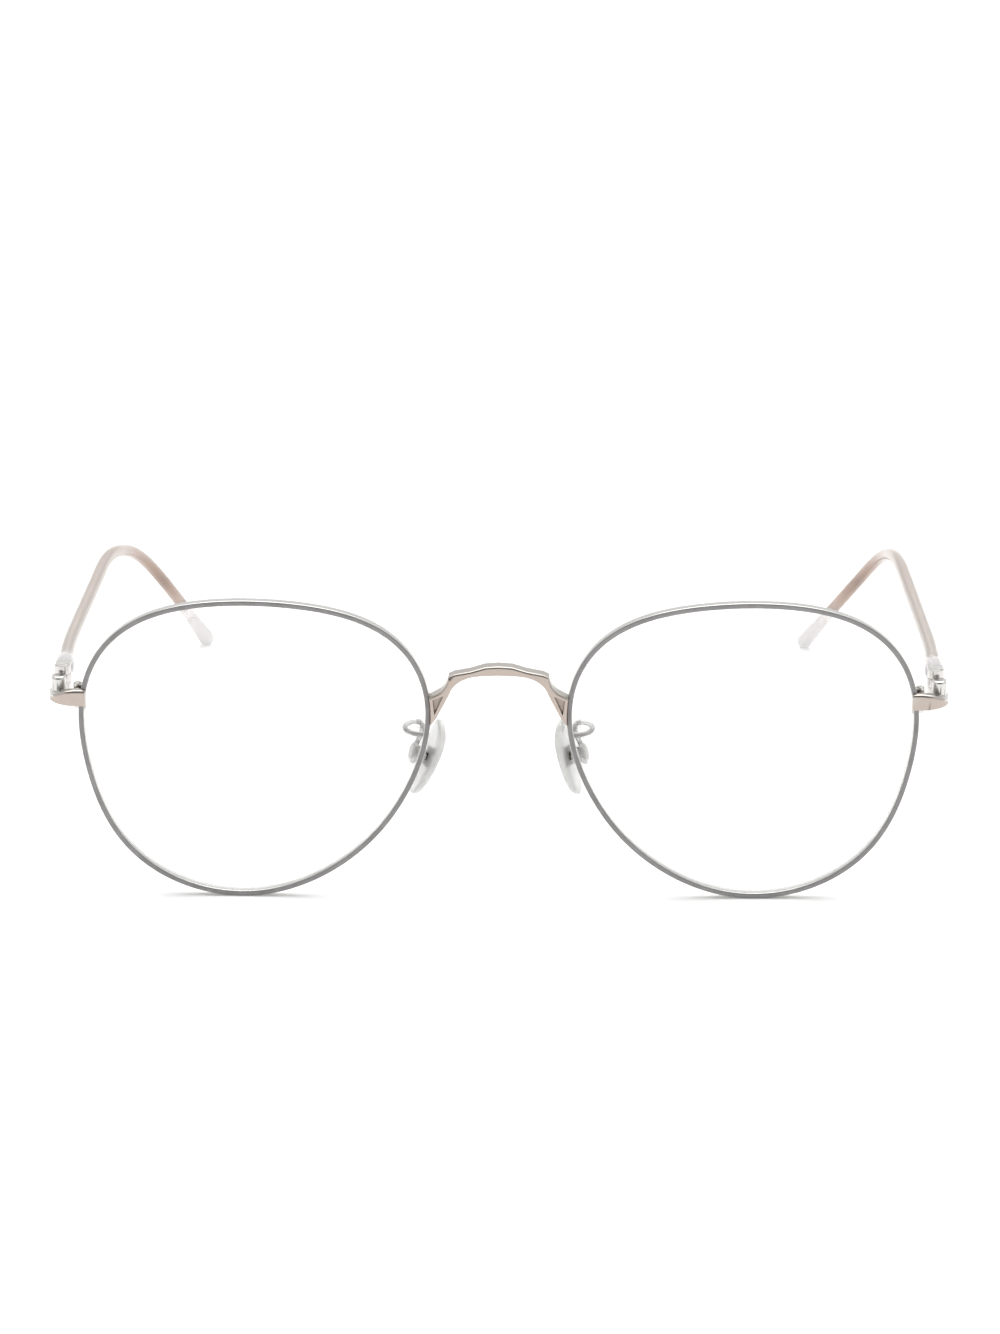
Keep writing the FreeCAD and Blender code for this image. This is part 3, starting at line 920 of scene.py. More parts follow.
@dataclass
class WireTree:
    """Geometry tree that sweeps a section along the host's line of edges.

    The host is drawn lying down, with depth along its Z, and the tree stands it up.

    Attributes:
        section: Section to sweep.
        metal: Finish of the wire.
        face: Finish of the faces that look forwards, if it differs.
        face_share: Forward share of a normal above which a face looks forwards.
        inputs: Socket identifier of each named size.
    """

    section: Section
    metal: Finish
    face: Finish | None = None
    face_share: float = 0.6
    inputs: dict[str, str] = field(default_factory=dict)

    def number(self, tree: bpy.types.NodeTree, name: str, value: float) -> None:
        """Add a named number input to the tree, whole or not as its first value is.

        Args:
            tree: Tree that gets the input.
            name: Name of the input.
            value: First value.
        """
        kind = "NodeSocketInt" if isinstance(value, int) else "NodeSocketFloat"
        socket = tree.interface.new_socket(name, in_out="INPUT", socket_type=kind)
        socket.default_value = value
        self.inputs[name] = socket.identifier

    def declare(self, tree: bpy.types.NodeTree) -> None:
        """Give the tree its geometry sockets and its named sizes.

        Args:
            tree: Empty geometry tree.
        """
        for way in ("INPUT", "OUTPUT"):
            tree.interface.new_socket("Geometry", in_out=way, socket_type="NodeSocketGeometry")
        if self.section is Section.ROUND:
            self.number(tree, "Sides", 24)
            return
        self.number(tree, "Width", 0.8 * MM)
        self.number(tree, "Depth", 1.7 * MM)
        self.number(tree, "Edge radius", 0.1 * MM)
        self.number(tree, "Edge points", 4)

    def profile(self, tree: bpy.types.NodeTree, given: bpy.types.Node) -> Socket:
        """Build the swept section.

        Args:
            tree: Geometry tree.
            given: The tree's input node.

        Returns:
            The section's curve socket.
        """
        if self.section is Section.ROUND:
            ring = add_node(
                tree,
                "GeometryNodeCurvePrimitiveCircle",
                {},
                {"Resolution": given.outputs["Sides"], "Radius": 1.0},
            )
            return ring.outputs["Curve"]
        box = add_node(
            tree,
            "GeometryNodeCurvePrimitiveQuadrilateral",
            {},
            {"Width": given.outputs["Width"], "Height": given.outputs["Depth"]},
        )
        rounded = add_node(
            tree,
            "GeometryNodeFilletCurve",
            {"mode": "POLY"},
            {
                "Curve": box.outputs["Curve"],
                "Radius": given.outputs["Edge radius"],
                "Count": given.outputs["Edge points"],
            },
        )
        return rounded.outputs["Curve"]

    def swept(self, tree: bpy.types.NodeTree, given: bpy.types.Node) -> Socket:
        """Sweep the section along the host's line, sized by its stored radius.

        Args:
            tree: Geometry tree.
            given: The tree's input node.

        Returns:
            The swept mesh's socket.
        """
        line = add_node(
            tree, "GeometryNodeMeshToCurve", {}, {"Mesh": given.outputs["Geometry"]}
        )
        size = add_node(
            tree,
            "GeometryNodeInputNamedAttribute",
            {"data_type": "FLOAT"},
            {"Name": "wire_radius"},
        ).outputs["Attribute"]
        sized = add_node(
            tree,
            "GeometryNodeSetCurveRadius",
            {},
            {"Curve": line.outputs["Curve"], "Radius": size},
        )
        upright = add_node(
            tree,
            "GeometryNodeSetCurveNormal",
            {"mode": "Z_UP"} if self.section is Section.STRIP else {},
            {"Curve": sized.outputs["Curve"]},
        )
        skin = add_node(
            tree,
            "GeometryNodeCurveToMesh",
            {},
            {
                "Curve": upright.outputs["Curve"],
                "Profile Curve": self.profile(tree, given),
                "Scale": size,
                "Fill Caps": True,
            },
        )
        return skin.outputs["Mesh"]

    def build(self) -> bpy.types.NodeTree:
        """Build the whole tree.

        Returns:
            The geometry tree, whose sizes are set by the identifiers kept in inputs.
        """
        tree = bpy.data.node_groups.new(f"sweep_{self.section.value}_wire", "GeometryNodeTree")
        self.declare(tree)
        given = add_node(tree, "NodeGroupInput", {}, {})
        stood = add_node(
            tree,
            "GeometryNodeTransform",
            {},
            {"Geometry": self.swept(tree, given), "Rotation": (math.pi / 2, 0.0, 0.0)},
        )
        smooth = add_node(
            tree, "GeometryNodeSetShadeSmooth", {}, {"Geometry": stood.outputs["Geometry"]}
        )
        single = add_node(
            tree, "GeometryNodeRealizeInstances", {}, {"Geometry": smooth.outputs["Geometry"]}
        )
        last = add_node(
            tree,
            "GeometryNodeSetMaterial",
            {},
            {"Geometry": single.outputs["Geometry"], "Material": self.metal.material()},
        )
        if self.face is not None:
            last = self.paint_face(tree, last)
        add_node(tree, "NodeGroupOutput", {}, {"Geometry": last.outputs["Geometry"]})
        return tree

    def paint_face(self, tree: bpy.types.NodeTree, metal: bpy.types.Node) -> bpy.types.Node:
        """Give the faces that look forwards the second finish.

        Args:
            tree: Geometry tree.
            metal: Node that sets the first finish.

        Returns:
            Node that sets the second finish.
        """
        normal = add_node(tree, "GeometryNodeInputNormal", {}, {})
        parts = add_node(tree, "ShaderNodeSeparateXYZ", {}, {0: normal.outputs["Normal"]})
        forward = add_node(
            tree,
            "FunctionNodeCompare",
            {"data_type": "FLOAT", "operation": "LESS_THAN"},
            {0: parts.outputs["Y"], 1: -self.face_share},
        )
        return add_node(
            tree,
            "GeometryNodeSetMaterial",
            {},
            {
                "Geometry": metal.outputs["Geometry"],
                "Selection": forward.outputs["Result"],
                "Material": self.face.material(),
            },
        )


def sweep(
    name: str,
    tree: bpy.types.NodeTree,
    settings: dict[str, float],
    route: list[Vector],
    radii: list[float],
) -> bpy.types.Object:
    """Sweep a wire tree along a route and return the plain mesh piece.

    Args:
        name: Name of the piece.
        tree: Geometry tree from WireTree.
        settings: Modifier values by socket identifier.
        route: Points in metres in the row frame.
        radii: Radius at each point, or one for a strip.

    Returns:
        Mesh object at the origin, with no modifier.
    """
    lying = [(p.x, p.z, -p.y) for p in route]
    line = bpy.data.meshes.new(name + "_line")
    line.from_pydata(lying, [(i, i + 1) for i in range(len(route) - 1)], [])
    keep_attribute(line, "wire_radius", radii)
    steps = [0.0]
    for a, b in zip(route, route[1:]):
        steps.append(steps[-1] + (b - a).length)
    keep_attribute(line, "along", [s / steps[-1] for s in steps])
    host = bpy.data.objects.new(name + "_host", line)
    bpy.context.scene.collection.objects.link(host)
    modifier = host.modifiers.new("sweep", "NODES")
    modifier.node_group = tree
    for identifier, value in settings.items():
        modifier[identifier] = value
    graph = bpy.context.evaluated_depsgraph_get()
    mesh = bpy.data.meshes.new_from_object(host.evaluated_get(graph))
    bpy.data.objects.remove(host)
    face_outwards(mesh)
    mesh.name = name
    mesh.set_sharp_from_angle(angle=math.radians(WIRE_CREASE_DEG))
    mark_upward(mesh)
    keep_attribute(mesh, "edge", [0.0] * len(mesh.vertices))
    piece = bpy.data.objects.new(name, mesh)
    bpy.context.scene.collection.objects.link(piece)
    return piece


# ---------------------------------------------------------------- eye shape
@dataclass
class EyeShape:
    """Outline of one eye, and the sphere that rim and lens are curved to.

    Attributes:
        radii: Distance of the rim's centre line from the eye centre, every 30 degrees.
        centre_x: Distance of the eye centre from the middle.
        centre_z: Height of the eye centre.
        sphere: Radius of the sphere.
        pole_y: Foremost point of the sphere.
        on_knot: Sine of half an angle that is close enough to a radius's own.
    """

    radii: tuple[float, ...] = (
        25.15, 26.9, 23.9, 22.2, 24.2, 26.7, 25.1, 24.5, 24.0, 22.9, 22.1, 22.7,
    )
    centre_x: float = 36.2
    centre_z: float = 23.40
    sphere: float = 120.0
    pole_y: float = -2.2
    on_knot: float = 1e-9

    def radius(self, angle: float) -> float:
        """Find the centre line's distance from the eye centre, a smooth wave through the radii.

        Args:
            angle: Angle in radians from the nose side.

        Returns:
            Distance in mm.
        """
        count = len(self.radii)
        total = 0.0
        for index, radius in enumerate(self.radii):
            gap = angle - 2 * math.pi * index / count
            if abs(math.sin(gap / 2)) < self.on_knot:
                return radius
            total += radius * math.sin(count * gap / 2) / (count * math.tan(gap / 2))
        return total

    def plan(self, side: Side, angle: float, offset: float) -> tuple[float, float]:
        """Find a front-view point, grown outwards from the centre line.

        Args:
            side: Wearer's side.
            angle: Angle in radians from the nose side.
            offset: Distance in mm outwards.

        Returns:
            X and Z in mm.
        """
        reach = 1e-3

        def raw(a: float) -> tuple[float, float]:
            """Point of the right eye's centre line at an angle."""
            r = self.radius(a)
            return -self.centre_x + r * math.cos(a), self.centre_z + r * math.sin(a)

        (x0, z0), (x1, z1) = raw(angle - reach), raw(angle + reach)
        size = math.hypot(x1 - x0, z1 - z0)
        x, z = raw(angle)
        x += offset * (z1 - z0) / size
        z -= offset * (x1 - x0) / size
        return -side.value * x, z

    def depth(self, side: Side, x: float, z: float) -> float:
        """Depth of the front sphere at a front-view point."""
        r2 = (x - side.value * self.centre_x) ** 2 + (z - self.centre_z) ** 2
        return self.pole_y + self.sphere - math.sqrt(self.sphere**2 - r2)

    def point(self, side: Side, angle: float, offset: float, behind: float) -> Vector:
        """Point at an offset from the centre line and a depth behind the front sphere."""
        x, z = self.plan(side, angle, offset)
        return at(x, self.depth(side, x, z) + behind, z)


# ---------------------------------------------------------------- front: rims, lenses, bridge
@dataclass
class Front:
    """Rims, lenses, bridge, endpieces and closing blocks.

    Attributes:
        eye: Outline and curve of the eyes.
        rim_width: Width of the rim strip, seen from the front.
        rim_depth: Depth of the rim strip.
        rim_edge: Radius of its edges.
        rim_points: Points along one rim.
        rim_edge_points: Points in the arc of one edge.
        split_z: Height at which a rim is split.
        split_gap: Gap between the rim's ends.
        split_between_deg: Angles between which the split lies.
        halvings: Steps of the search for the split.
        lens_front: Depth of the lens's front face behind the front sphere.
        lens_back: Depth of its back face.
        lens_offset: Distance of the faces' edge outwards from the rim's centre line.
        bevel_offset: Distance of the ridge of the V edge, likewise.
        brow: Round along the bridge's upper front edge.
        end_brow: The same on the endpieces.
        bridge_brow_back: Depth behind which the bridge's edges are only broken.
        bridge_brow_deep: Depth that a top of the bridge needs to get the round.
        pocket_floor: Depth at which the floors of the bridge's pockets get painted shade.
        lug_back: Depth behind which the endpiece's edges are only broken.
        lug_start: Depth and height beyond which the soldered lug lies.
        lens_rings: Rings from a lens's centre to its edge.
        lens_points: Points round a lens.
        lens_crease_deg: Edges of a lens that turn more than this stay crisp.
        decimals: Decimals to which points in metres are compared.
    """

    eye: EyeShape = field(default_factory=EyeShape)
    rim_width: float = 0.8
    rim_depth: float = 1.7
    rim_edge: float = 0.2
    rim_points: int = 420
    rim_edge_points: int = 4
    split_z: float = 30.6
    split_gap: float = 0.2
    split_between_deg: tuple[float, float] = (150.0, 180.0)
    halvings: int = 40
    lens_front: float = 0.3
    lens_back: float = 1.5
    lens_offset: float = -0.42
    bevel_offset: float = -0.14
    brow: float = 0.36
    end_brow: float = 0.45
    bridge_brow_back: float = 0.5
    bridge_brow_deep: float = 1.5
    pocket_floor: float = 0.5
    lug_back: float = 4.6
    lug_start: tuple[float, float] = (1.3, 30.5)
    lens_rings: int = 14
    lens_points: int = 180
    lens_crease_deg: float = 25.0
    decimals: int = 6

    def split_angle(self) -> float:
        """Find the angle on the temple side at which the rim is split, by halving.

        Returns:
            Angle in radians from the nose side.
        """
        low, high = (math.radians(limit) for limit in self.split_between_deg)
        for _ in range(self.halvings):
            middle = (low + high) / 2
            height = self.eye.centre_z + self.eye.radius(middle) * math.sin(middle)
            low, high = (middle, high) if height > self.split_z else (low, middle)
        return (low + high) / 2

    def make_rims(self) -> None:
        """Sweep the rim strip round both eyes, open at the closing block."""
        maker = WireTree(Section.STRIP, RIM_METAL, LACQUER)
        tree = maker.build()
        settings = {
            maker.inputs["Width"]: self.rim_width * MM,
            maker.inputs["Depth"]: self.rim_depth * MM,
            maker.inputs["Edge radius"]: self.rim_edge * MM,
            maker.inputs["Edge points"]: self.rim_edge_points,
        }
        start = self.split_angle()
        half_gap = self.split_gap / 2 / self.eye.radius(start)
        turn = 2 * math.pi - 2 * half_gap
        step = turn / (self.rim_points - 1)
        angles = [start - half_gap - step * i for i in range(self.rim_points)]
        for side in Side:
            route = [self.eye.point(side, angle, 0.0, self.rim_depth / 2) for angle in angles]
            piece = sweep(side.node("rim_wire"), tree, settings, route, [1.0] * len(route))
            seat(piece, "front", (side.node("rim"),))

    def make_lenses(self) -> None:
        """Build both lenses: two spherical faces and a ground V edge."""
        turns = [2 * math.pi * i / self.lens_points for i in range(self.lens_points)]
        middle = (self.lens_front + self.lens_back) / 2
        for side in Side:
            front, back = (
                [
                    [self.face_point(side, a, k / self.lens_rings, behind) for a in turns]
                    for k in range(self.lens_rings + 1)
                ]
                for behind in (self.lens_front, self.lens_back)
            )
            ridge = [self.eye.point(side, a, self.bevel_offset, middle) for a in turns]
            points, faces = stack_rings([*front, ridge, *reversed(back)])
            piece = mesh_piece(side.node("lens_blank"), points, faces, [RESIN, GROUND])
            face_outwards(piece.data)
            self.grind_edge(piece.data, ridge)
            piece.data.set_sharp_from_angle(angle=math.radians(self.lens_crease_deg))
            seat(piece, "front", (side.node("lens"),))

    def grind_edge(self, mesh: bpy.types.Mesh, ridge: list[Vector]) -> None:
        """Give the faces that touch the ridge of the V edge the ground finish.

        Args:
            mesh: Lens mesh with the ground finish in its second slot.
            ridge: Points of the ridge.
        """
        edge = {p.to_tuple(self.decimals) for p in ridge}
        for polygon in mesh.polygons:
            corners = (mesh.vertices[i].co for i in polygon.vertices)
            if any(corner.to_tuple(self.decimals) in edge for corner in corners):
                polygon.material_index = 1

    def face_point(self, side: Side, angle: float, share: float, behind: float) -> Vector:
        """Find a point of a lens face.

        Args:
            side: Wearer's side.
            angle: Angle in radians from the nose side.
            share: Share of the way from the lens's centre to its edge.
            behind: Depth in mm behind the front sphere.

        Returns:
            The point in metres in the row frame.
        """
        x, z = self.eye.plan(side, angle, self.lens_offset)
        middle_x, middle_z = side.value * self.eye.centre_x, self.eye.centre_z
        x, z = middle_x + (x - middle_x) * share, middle_z + (z - middle_z) * share
        return at(x, self.eye.depth(side, x, z) + behind, z)

    def make_hardware(self, nodes: dict[str, bpy.types.Object]) -> None:
        """Redraw the bridge, endpieces and closing blocks with broken edges.

        Args:
            nodes: CAD objects by node name.
        """
        SoftenedCopy(
            "bridge",
            "front",
            CHAMPAGNE,
            brow_mm=self.brow,
            brow_back=at(0, self.bridge_brow_back, 0).y,
            brow_deep_mm=self.bridge_brow_deep,
            recess_shade_mm=self.pocket_floor,
        ).build(nodes["bridge"])
        for side in Side:
            name = side.node("endpiece")
            SoftenedCopy(
                name,
                "front",
                CHAMPAGNE,
                brow_mm=self.end_brow,
                brow_back=at(0, self.lug_back, 0).y,
                lug=BRIGHT,
                lug_start=at(0, *self.lug_start),
            ).build(nodes[name])
            for piece, edge in (
                ("rim_lock_upper", 0.05),
                ("rim_lock_lower", 0.05),
                ("rim_lock_screw", 0.04),
            ):
                name = side.node(piece)
                SoftenedCopy(name, "front", BRIGHT, edge).build(nodes[name])


# ---------------------------------------------------------------- temples
@dataclass
class Temples:
    """Hinge plates, hinge screws, wires and clear sleeves.

    Attributes:
        route: Corners of the left temple's centre line, hinge to tip, mirrored on the right.
        bend: Distance that both temples are bent to +X at those corners.
        corner_share: Share of the shorter neighbouring run that an arc takes up.
        step: Distance between points along the route.
        wire_radius: Radius of the metal wire.
        wire_start: Length of wire inside the hinge plate.
        wire_end: Distance at which the wire stops short of the last corner.
        sleeve_radius: Radius of the plain tube.
        bell_radius: Radius of the bell at the hinge.
        bell_length: Length of the bell.
        bell_taper: Length over which the bell narrows to the tube.
        bell_mouth: Share of the bell's radius at its very end.
        bell_round: Length that sets how fast the end fills out.
        tip_radius: Radius of the tip.
        tip_flare: Length over which the tube widens to the tip.
        dome_rings: Rings of the tip's round end.
        dome_deg: How far the round end goes towards a closed dome.
        wire_sides: Sides of the wire's section.
        sleeve_sides: Sides of the sleeve's section.
    """

    route: tuple[tuple[float, float, float], ...] = (
        (64.8, 8.0, 33.0),
        (65.55, 21.0, 33.0),
        (65.1, 75.0, 32.5),
        (63.7, 97.0, 26.3),
        (60.4, 114.5, 15.4),
        (54.0, 128.0, 1.35),
    )
    bend: tuple[float, ...] = (0.0, 0.0, 0.3, 1.2, 1.3, 0.6)
    corner_share: float = 0.47
    step: float = 0.6
    wire_radius: float = 0.62
    wire_start: float = 0.7
    wire_end: float = 11.0
    sleeve_radius: float = 1.02
    bell_radius: float = 1.4
    bell_length: float = 3.1
    bell_taper: float = 2.0
    bell_mouth: float = 0.8
    bell_round: float = 1.5
    tip_radius: float = 1.35
    tip_flare: float = 9.5
    dome_rings: int = 10
    dome_deg: float = 88.0
    wire_sides: int = 24
    sleeve_sides: int = 32

    def corners(self, side: Side) -> list[Vector]:
        """List the corner points of one temple.

        Args:
            side: Wearer's side.

        Returns:
            Points in mm from the front plane.
        """
        return [
            Vector((side.value * x + shift, y, z))
            for (x, y, z), shift in zip(self.route, self.bend)
        ]

    def smooth_route(self, corners: list[Vector]) -> list[Vector]:
        """Join straight runs by tangent arcs.

        Args:
            corners: Corner points of the route in mm.

        Returns:
            Closely spaced points in mm.
        """
        points = [corners[0]]
        for before, corner, after in zip(corners, corners[1:], corners[2:]):
            back, ahead = before - corner, after - corner
            reach = self.corner_share * min(back.length, ahead.length)
            first = corner + back.normalized() * reach
            half = back.angle(ahead) / 2
            inward = (back.normalized() + ahead.normalized()).normalized()
            radius = reach * math.tan(half)
            centre = corner + inward * (reach / math.cos(half))
            start = first - centre
            axis = back.cross(ahead).normalized()
            sweep_angle = math.pi - 2 * half
            count = max(2, math.ceil(sweep_angle * radius / self.step))
            points += self.straight(points[-1], first)
            for i in range(1, count + 1):
                turn = Matrix.Rotation(-sweep_angle * i / count, 3, axis)
                points.append(centre + turn @ start)
        return points + self.straight(points[-1], corners[-1])

    def straight(self, start: Vector, end: Vector) -> list[Vector]:
        """Points from after start up to end, a step apart."""
        count = max(1, math.ceil((end - start).length / self.step))
        return [start.lerp(end, (i + 1) / count) for i in range(count)]

    def sleeve_size(self, along: float, total: float) -> float:
        """Find the sleeve's radius: a bell, a plain tube and a flared tip.

        Args:
            along: Distance in mm from the hinge end.
            total: Length of the sleeve in mm.

        Returns:
            Radius in mm.
        """
        if along < self.bell_length + self.bell_taper:
            rounding = min(1.0, self.bell_mouth + along / self.bell_round)
            share = max(0.0, along - self.bell_length) / self.bell_taper
            bell = self.bell_radius + (self.sleeve_radius - self.bell_radius) * self.ease(share)
            return bell * rounding
        share = max(0.0, 1 - (total - along) / self.tip_flare)
        return self.sleeve_radius + (self.tip_radius - self.sleeve_radius) * self.ease(share)

    def ease(self, share: float) -> float:
        """Smooth step from 0 to 1."""
        return share * share * (3 - 2 * share)

    def make_wire(self, side: Side, maker: WireTree, tree: bpy.types.NodeTree) -> None:
        """Sweep the metal wire from inside the hinge plate to short of the tip.

        Args:
            side: Wearer's side.
            maker: Wire tree's maker, which knows its inputs.
            tree: The wire tree.
        """
        corners = self.corners(side)
        corners[0] -= (corners[1] - corners[0]).normalized() * self.wire_start
        corners[-1] -= (corners[-1] - corners[-2]).normalized() * self.wire_end
        route = [at(*p) for p in self.smooth_route(corners)]
        radii = [self.wire_radius * MM] * len(route)
        settings = {maker.inputs["Sides"]: self.wire_sides}
        piece = sweep(side.node("temple_core"), tree, settings, route, radii)
        seat(piece, side.node("temple"), (side.node("temple_wire"),))

    def make_sleeve(self, side: Side, maker: WireTree, tree: bpy.types.NodeTree) -> None:
        """Sweep the clear sleeve with its bell, tube and rounded tip.

        Args:
            side: Wearer's side.
            maker: Wire tree's maker, which knows its inputs.
            tree: The wire tree.
        """
        line = self.smooth_route(self.corners(side))
        ahead = (line[-1] - line[-2]).normalized()
        lengths = [0.0]
        for a, b in zip(line, line[1:]):
            lengths.append(lengths[-1] + (b - a).length)
        radii = [self.sleeve_size(s, lengths[-1]) for s in lengths]
        end = line[-1].copy()
        for i in range(1, self.dome_rings + 1):
            angle = math.radians(self.dome_deg) * i / self.dome_rings
            line.append(end + ahead * (self.tip_radius * math.sin(angle)))
            radii.append(self.tip_radius * math.cos(angle))
        route = [at(*p) for p in line]
        settings = {maker.inputs["Sides"]: self.sleeve_sides}
        piece = sweep(side.node("temple_tube"), tree, settings, route, [r * MM for r in radii])
        seat(piece, side.node("temple"), (side.node("temple_sleeve"),))

    def make_hardware(self, nodes: dict[str, bpy.types.Object]) -> None:
        """Redraw the hinge plates and hinge screws.

        Args:
            nodes: CAD objects by node name.
        """
        for side in Side:
            for piece, edge in (("temple_hinge", 0.08), ("hinge_screw", 0.05)):
                name = side.node(piece)
                SoftenedCopy(name, side.node("temple"), BRIGHT_TEMPLE, edge).build(nodes[name])

    def make(self, nodes: dict[str, bpy.types.Object]) -> None:
        """Build both temples.

        Args:
            nodes: CAD objects by node name.
        """
        for finish, build in ((WIRE, self.make_wire), (SLEEVE, self.make_sleeve)):
            maker = WireTree(Section.ROUND, finish)
            tree = maker.build()
            for side in Side:
                build(side, maker, tree)
        self.make_hardware(nodes)


# ---------------------------------------------------------------- nose pads
@dataclass
class NosePads:
    """Pad arms, boxes, screws, metal inserts and soft pads.

    Attributes:
        centre: Place of the right pad's centre, mirrored on the left.
        tilt_deg: Lean of the pad's top towards the nose.
        splay_deg: Turn of the pad about the upright axis.
        lean_deg: Rock of the right and of the left pad about its screw.
        bend: Radius to which the flat pad is bowed.
        pivot: Place of the rocking screw along the pad's own axis to the nose.
        thick: Thickness of the pad.
        edge_fullness: Exponent of the pad's outline from face to rim, lower is fuller.
        face_fullness: Exponent of the pad's thickness, likewise.
        drop: Distance of the pad's middle below its screw.
        top_radius: Radius of the pad's wider, upper end.
        bottom_radius: Radius of its lower end.
        span: Distance between the two ends' centres.
        around: Points round the pad.
        rings: Rings from one face to the other.
        arm_radius: Radius of the arm wire.
        arm_step: Distance between points along the arm.
        arm_sides: Sides of the arm's section.
        arm_route: Corners of the right arm, rim to box, mirrored on the left.
    """

    centre: tuple[float, float, float] = (-10.0, 6.5, 20.05)
    tilt_deg: float = 16.5
    splay_deg: float = 20.0
    lean_deg: tuple[float, float] = (6.0, -3.0)
    bend: float = 20.0
    pivot: float = -1.9
    thick: float = 1.6
    edge_fullness: float = 0.62
    face_fullness: float = 0.9
    drop: float = 0.45
    top_radius: float = 2.6
    bottom_radius: float = 1.9
    span: float = 7.6
    around: int = 72
    rings: int = 22
    arm_radius: float = 0.39
    arm_step: float = 0.12
    arm_sides: int = 20
    arm_route: tuple[tuple[float, float, float], ...] = (
        (-10.72, 2.35, 24.85),
        (-12.5, 2.75, 24.85),
        (-13.9, 3.7, 25.0),
        (-14.0, 5.4, 25.25),
        (-13.0, 6.9, 25.4),
        (-11.25, 7.2, 25.25),
        (-11.5, 6.3, 23.75),
        (-12.41, 5.63, 22.06),
    )

    def placed(self, side: Side, local: Vector) -> Vector:
        """Bow, rock and turn a point of the flat pad into the row frame.

        Args:
            side: Wearer's side.
            local: Point in mm in the pad's own axes: X to the nose, Y back, Z up.

        Returns:
            The point in metres in the row frame.
        """
        bow = local.z / self.bend
        out = self.bend + local.x
        bowed = Vector((out * math.cos(bow) - self.bend, local.y, out * math.sin(bow)))
        pivot = Vector((self.pivot, 0.0, 0.0))
        lean = math.radians(self.lean_deg[0 if side is Side.RIGHT else 1])
        rocked = Matrix.Rotation(lean, 3, "Y") @ (bowed - pivot) + pivot
        tilt = Matrix.Rotation(math.radians(self.tilt_deg), 3, "Y")
        splay = Matrix.Rotation(math.radians(self.splay_deg), 3, "Z")
        p = splay @ (tilt @ rocked) + Vector(self.centre)
        return at(-side.value * p.x, p.y, p.z)

    def outline(self) -> list[tuple[float, float]]:
        """Draw the egg-shaped outline of the pad.

        Returns:
            Evenly spaced points in the pad's own Y and Z in mm.
        """
        half = self.span / 2
        lean = math.asin((self.bottom_radius - self.top_radius) / self.span)
        points = []
        for radius, centre_z, first, last in (
            (self.top_radius, half - self.drop, lean, math.pi - lean),
            (self.bottom_radius, -half - self.drop, math.pi - lean, 2 * math.pi + lean),
        ):
            for i in range(self.around // 2):
                a = first + (last - first) * i / (self.around // 2 - 1)
                points.append((radius * math.cos(a), centre_z + radius * math.sin(a)))
        return self.even(points)

    def even(self, points: list[tuple[float, float]]) -> list[tuple[float, float]]:
        """Respace a closed outline to equal steps.

        Args:
            points: Outline points, in order.

        Returns:
            As many points as the pad has around it.
        """
        closed = points + points[:1]
        marks = [0.0]
        for (a, b), (c, d) in zip(closed, closed[1:]):
            marks.append(marks[-1] + math.hypot(c - a, d - b))
        made = []
        index = 0
        for i in range(self.around):
            goal = marks[-1] * i / self.around
            while marks[index + 1] < goal:
                index += 1
            gap = marks[index + 1] - marks[index]
            t = (goal - marks[index]) / gap if gap > 0 else 0.0
            (a, b), (c, d) = closed[index], closed[index + 1]
            made.append((a + (c - a) * t, b + (d - b) * t))
        return made

    def make_pad(self, side: Side) -> None:
        """Build the soft pad: a domed egg with a full round edge.

        Args:
            side: Wearer's side.
        """
        outline = self.outline()
        rings = []
        for k in range(self.rings + 1):
            a = math.pi * k / self.rings
            share = abs(math.sin(a)) ** self.edge_fullness
            depth = math.copysign(abs(math.cos(a)) ** self.face_fullness, math.cos(a)) * self.thick / 2
            rings.append(
                [
                    self.placed(side, Vector((depth, y * share, -self.drop + (z + self.drop) * share)))
                    for y, z in outline
                ]
            )
        points, faces = stack_rings(rings)
        piece = mesh_piece(side.node("soft_pad"), points, faces, [SILICONE])
        face_outwards(piece.data)
        seat(piece, side.node("pad"), (side.node("nose_pad"),))

    def make_arm(self, side: Side, maker: WireTree, tree: bpy.types.NodeTree) -> None:
        """Sweep the bent arm wire from the rim to the pad box.

        Args:
            side: Wearer's side.
            maker: Wire tree's maker, which knows its inputs.
            tree: The wire tree.
        """
        shaper = Temples(step=self.arm_step)
        corners = [Vector((-side.value * x, y, z)) for x, y, z in self.arm_route]
        route = [at(*p) for p in shaper.smooth_route(corners)]
        radii = [self.arm_radius * MM] * len(route)
        settings = {maker.inputs["Sides"]: self.arm_sides}
        piece = sweep(side.node("pad_arm_wire"), tree, settings, route, radii)
        seat(piece, "front", (side.node("pad_arm"),))

    def make(self, nodes: dict[str, bpy.types.Object]) -> None:
        """Build both pads with their hardware.

        Args:
            nodes: CAD objects by node name.
        """
        maker = WireTree(Section.ROUND, SHADED)
        tree = maker.build()
        for side in Side:
            self.make_pad(side)
            self.make_arm(side, maker, tree)
            for piece, body, finish, edge in (
                ("pad_box", "front", SHADED, 0.05),
                ("pad_screw", "front", SHADED, 0.03),
                ("pad_insert", side.node("pad"), INSERT_METAL, 0.04),
            ):
                name = side.node(piece)
                SoftenedCopy(name, body, finish, edge).build(nodes[name])


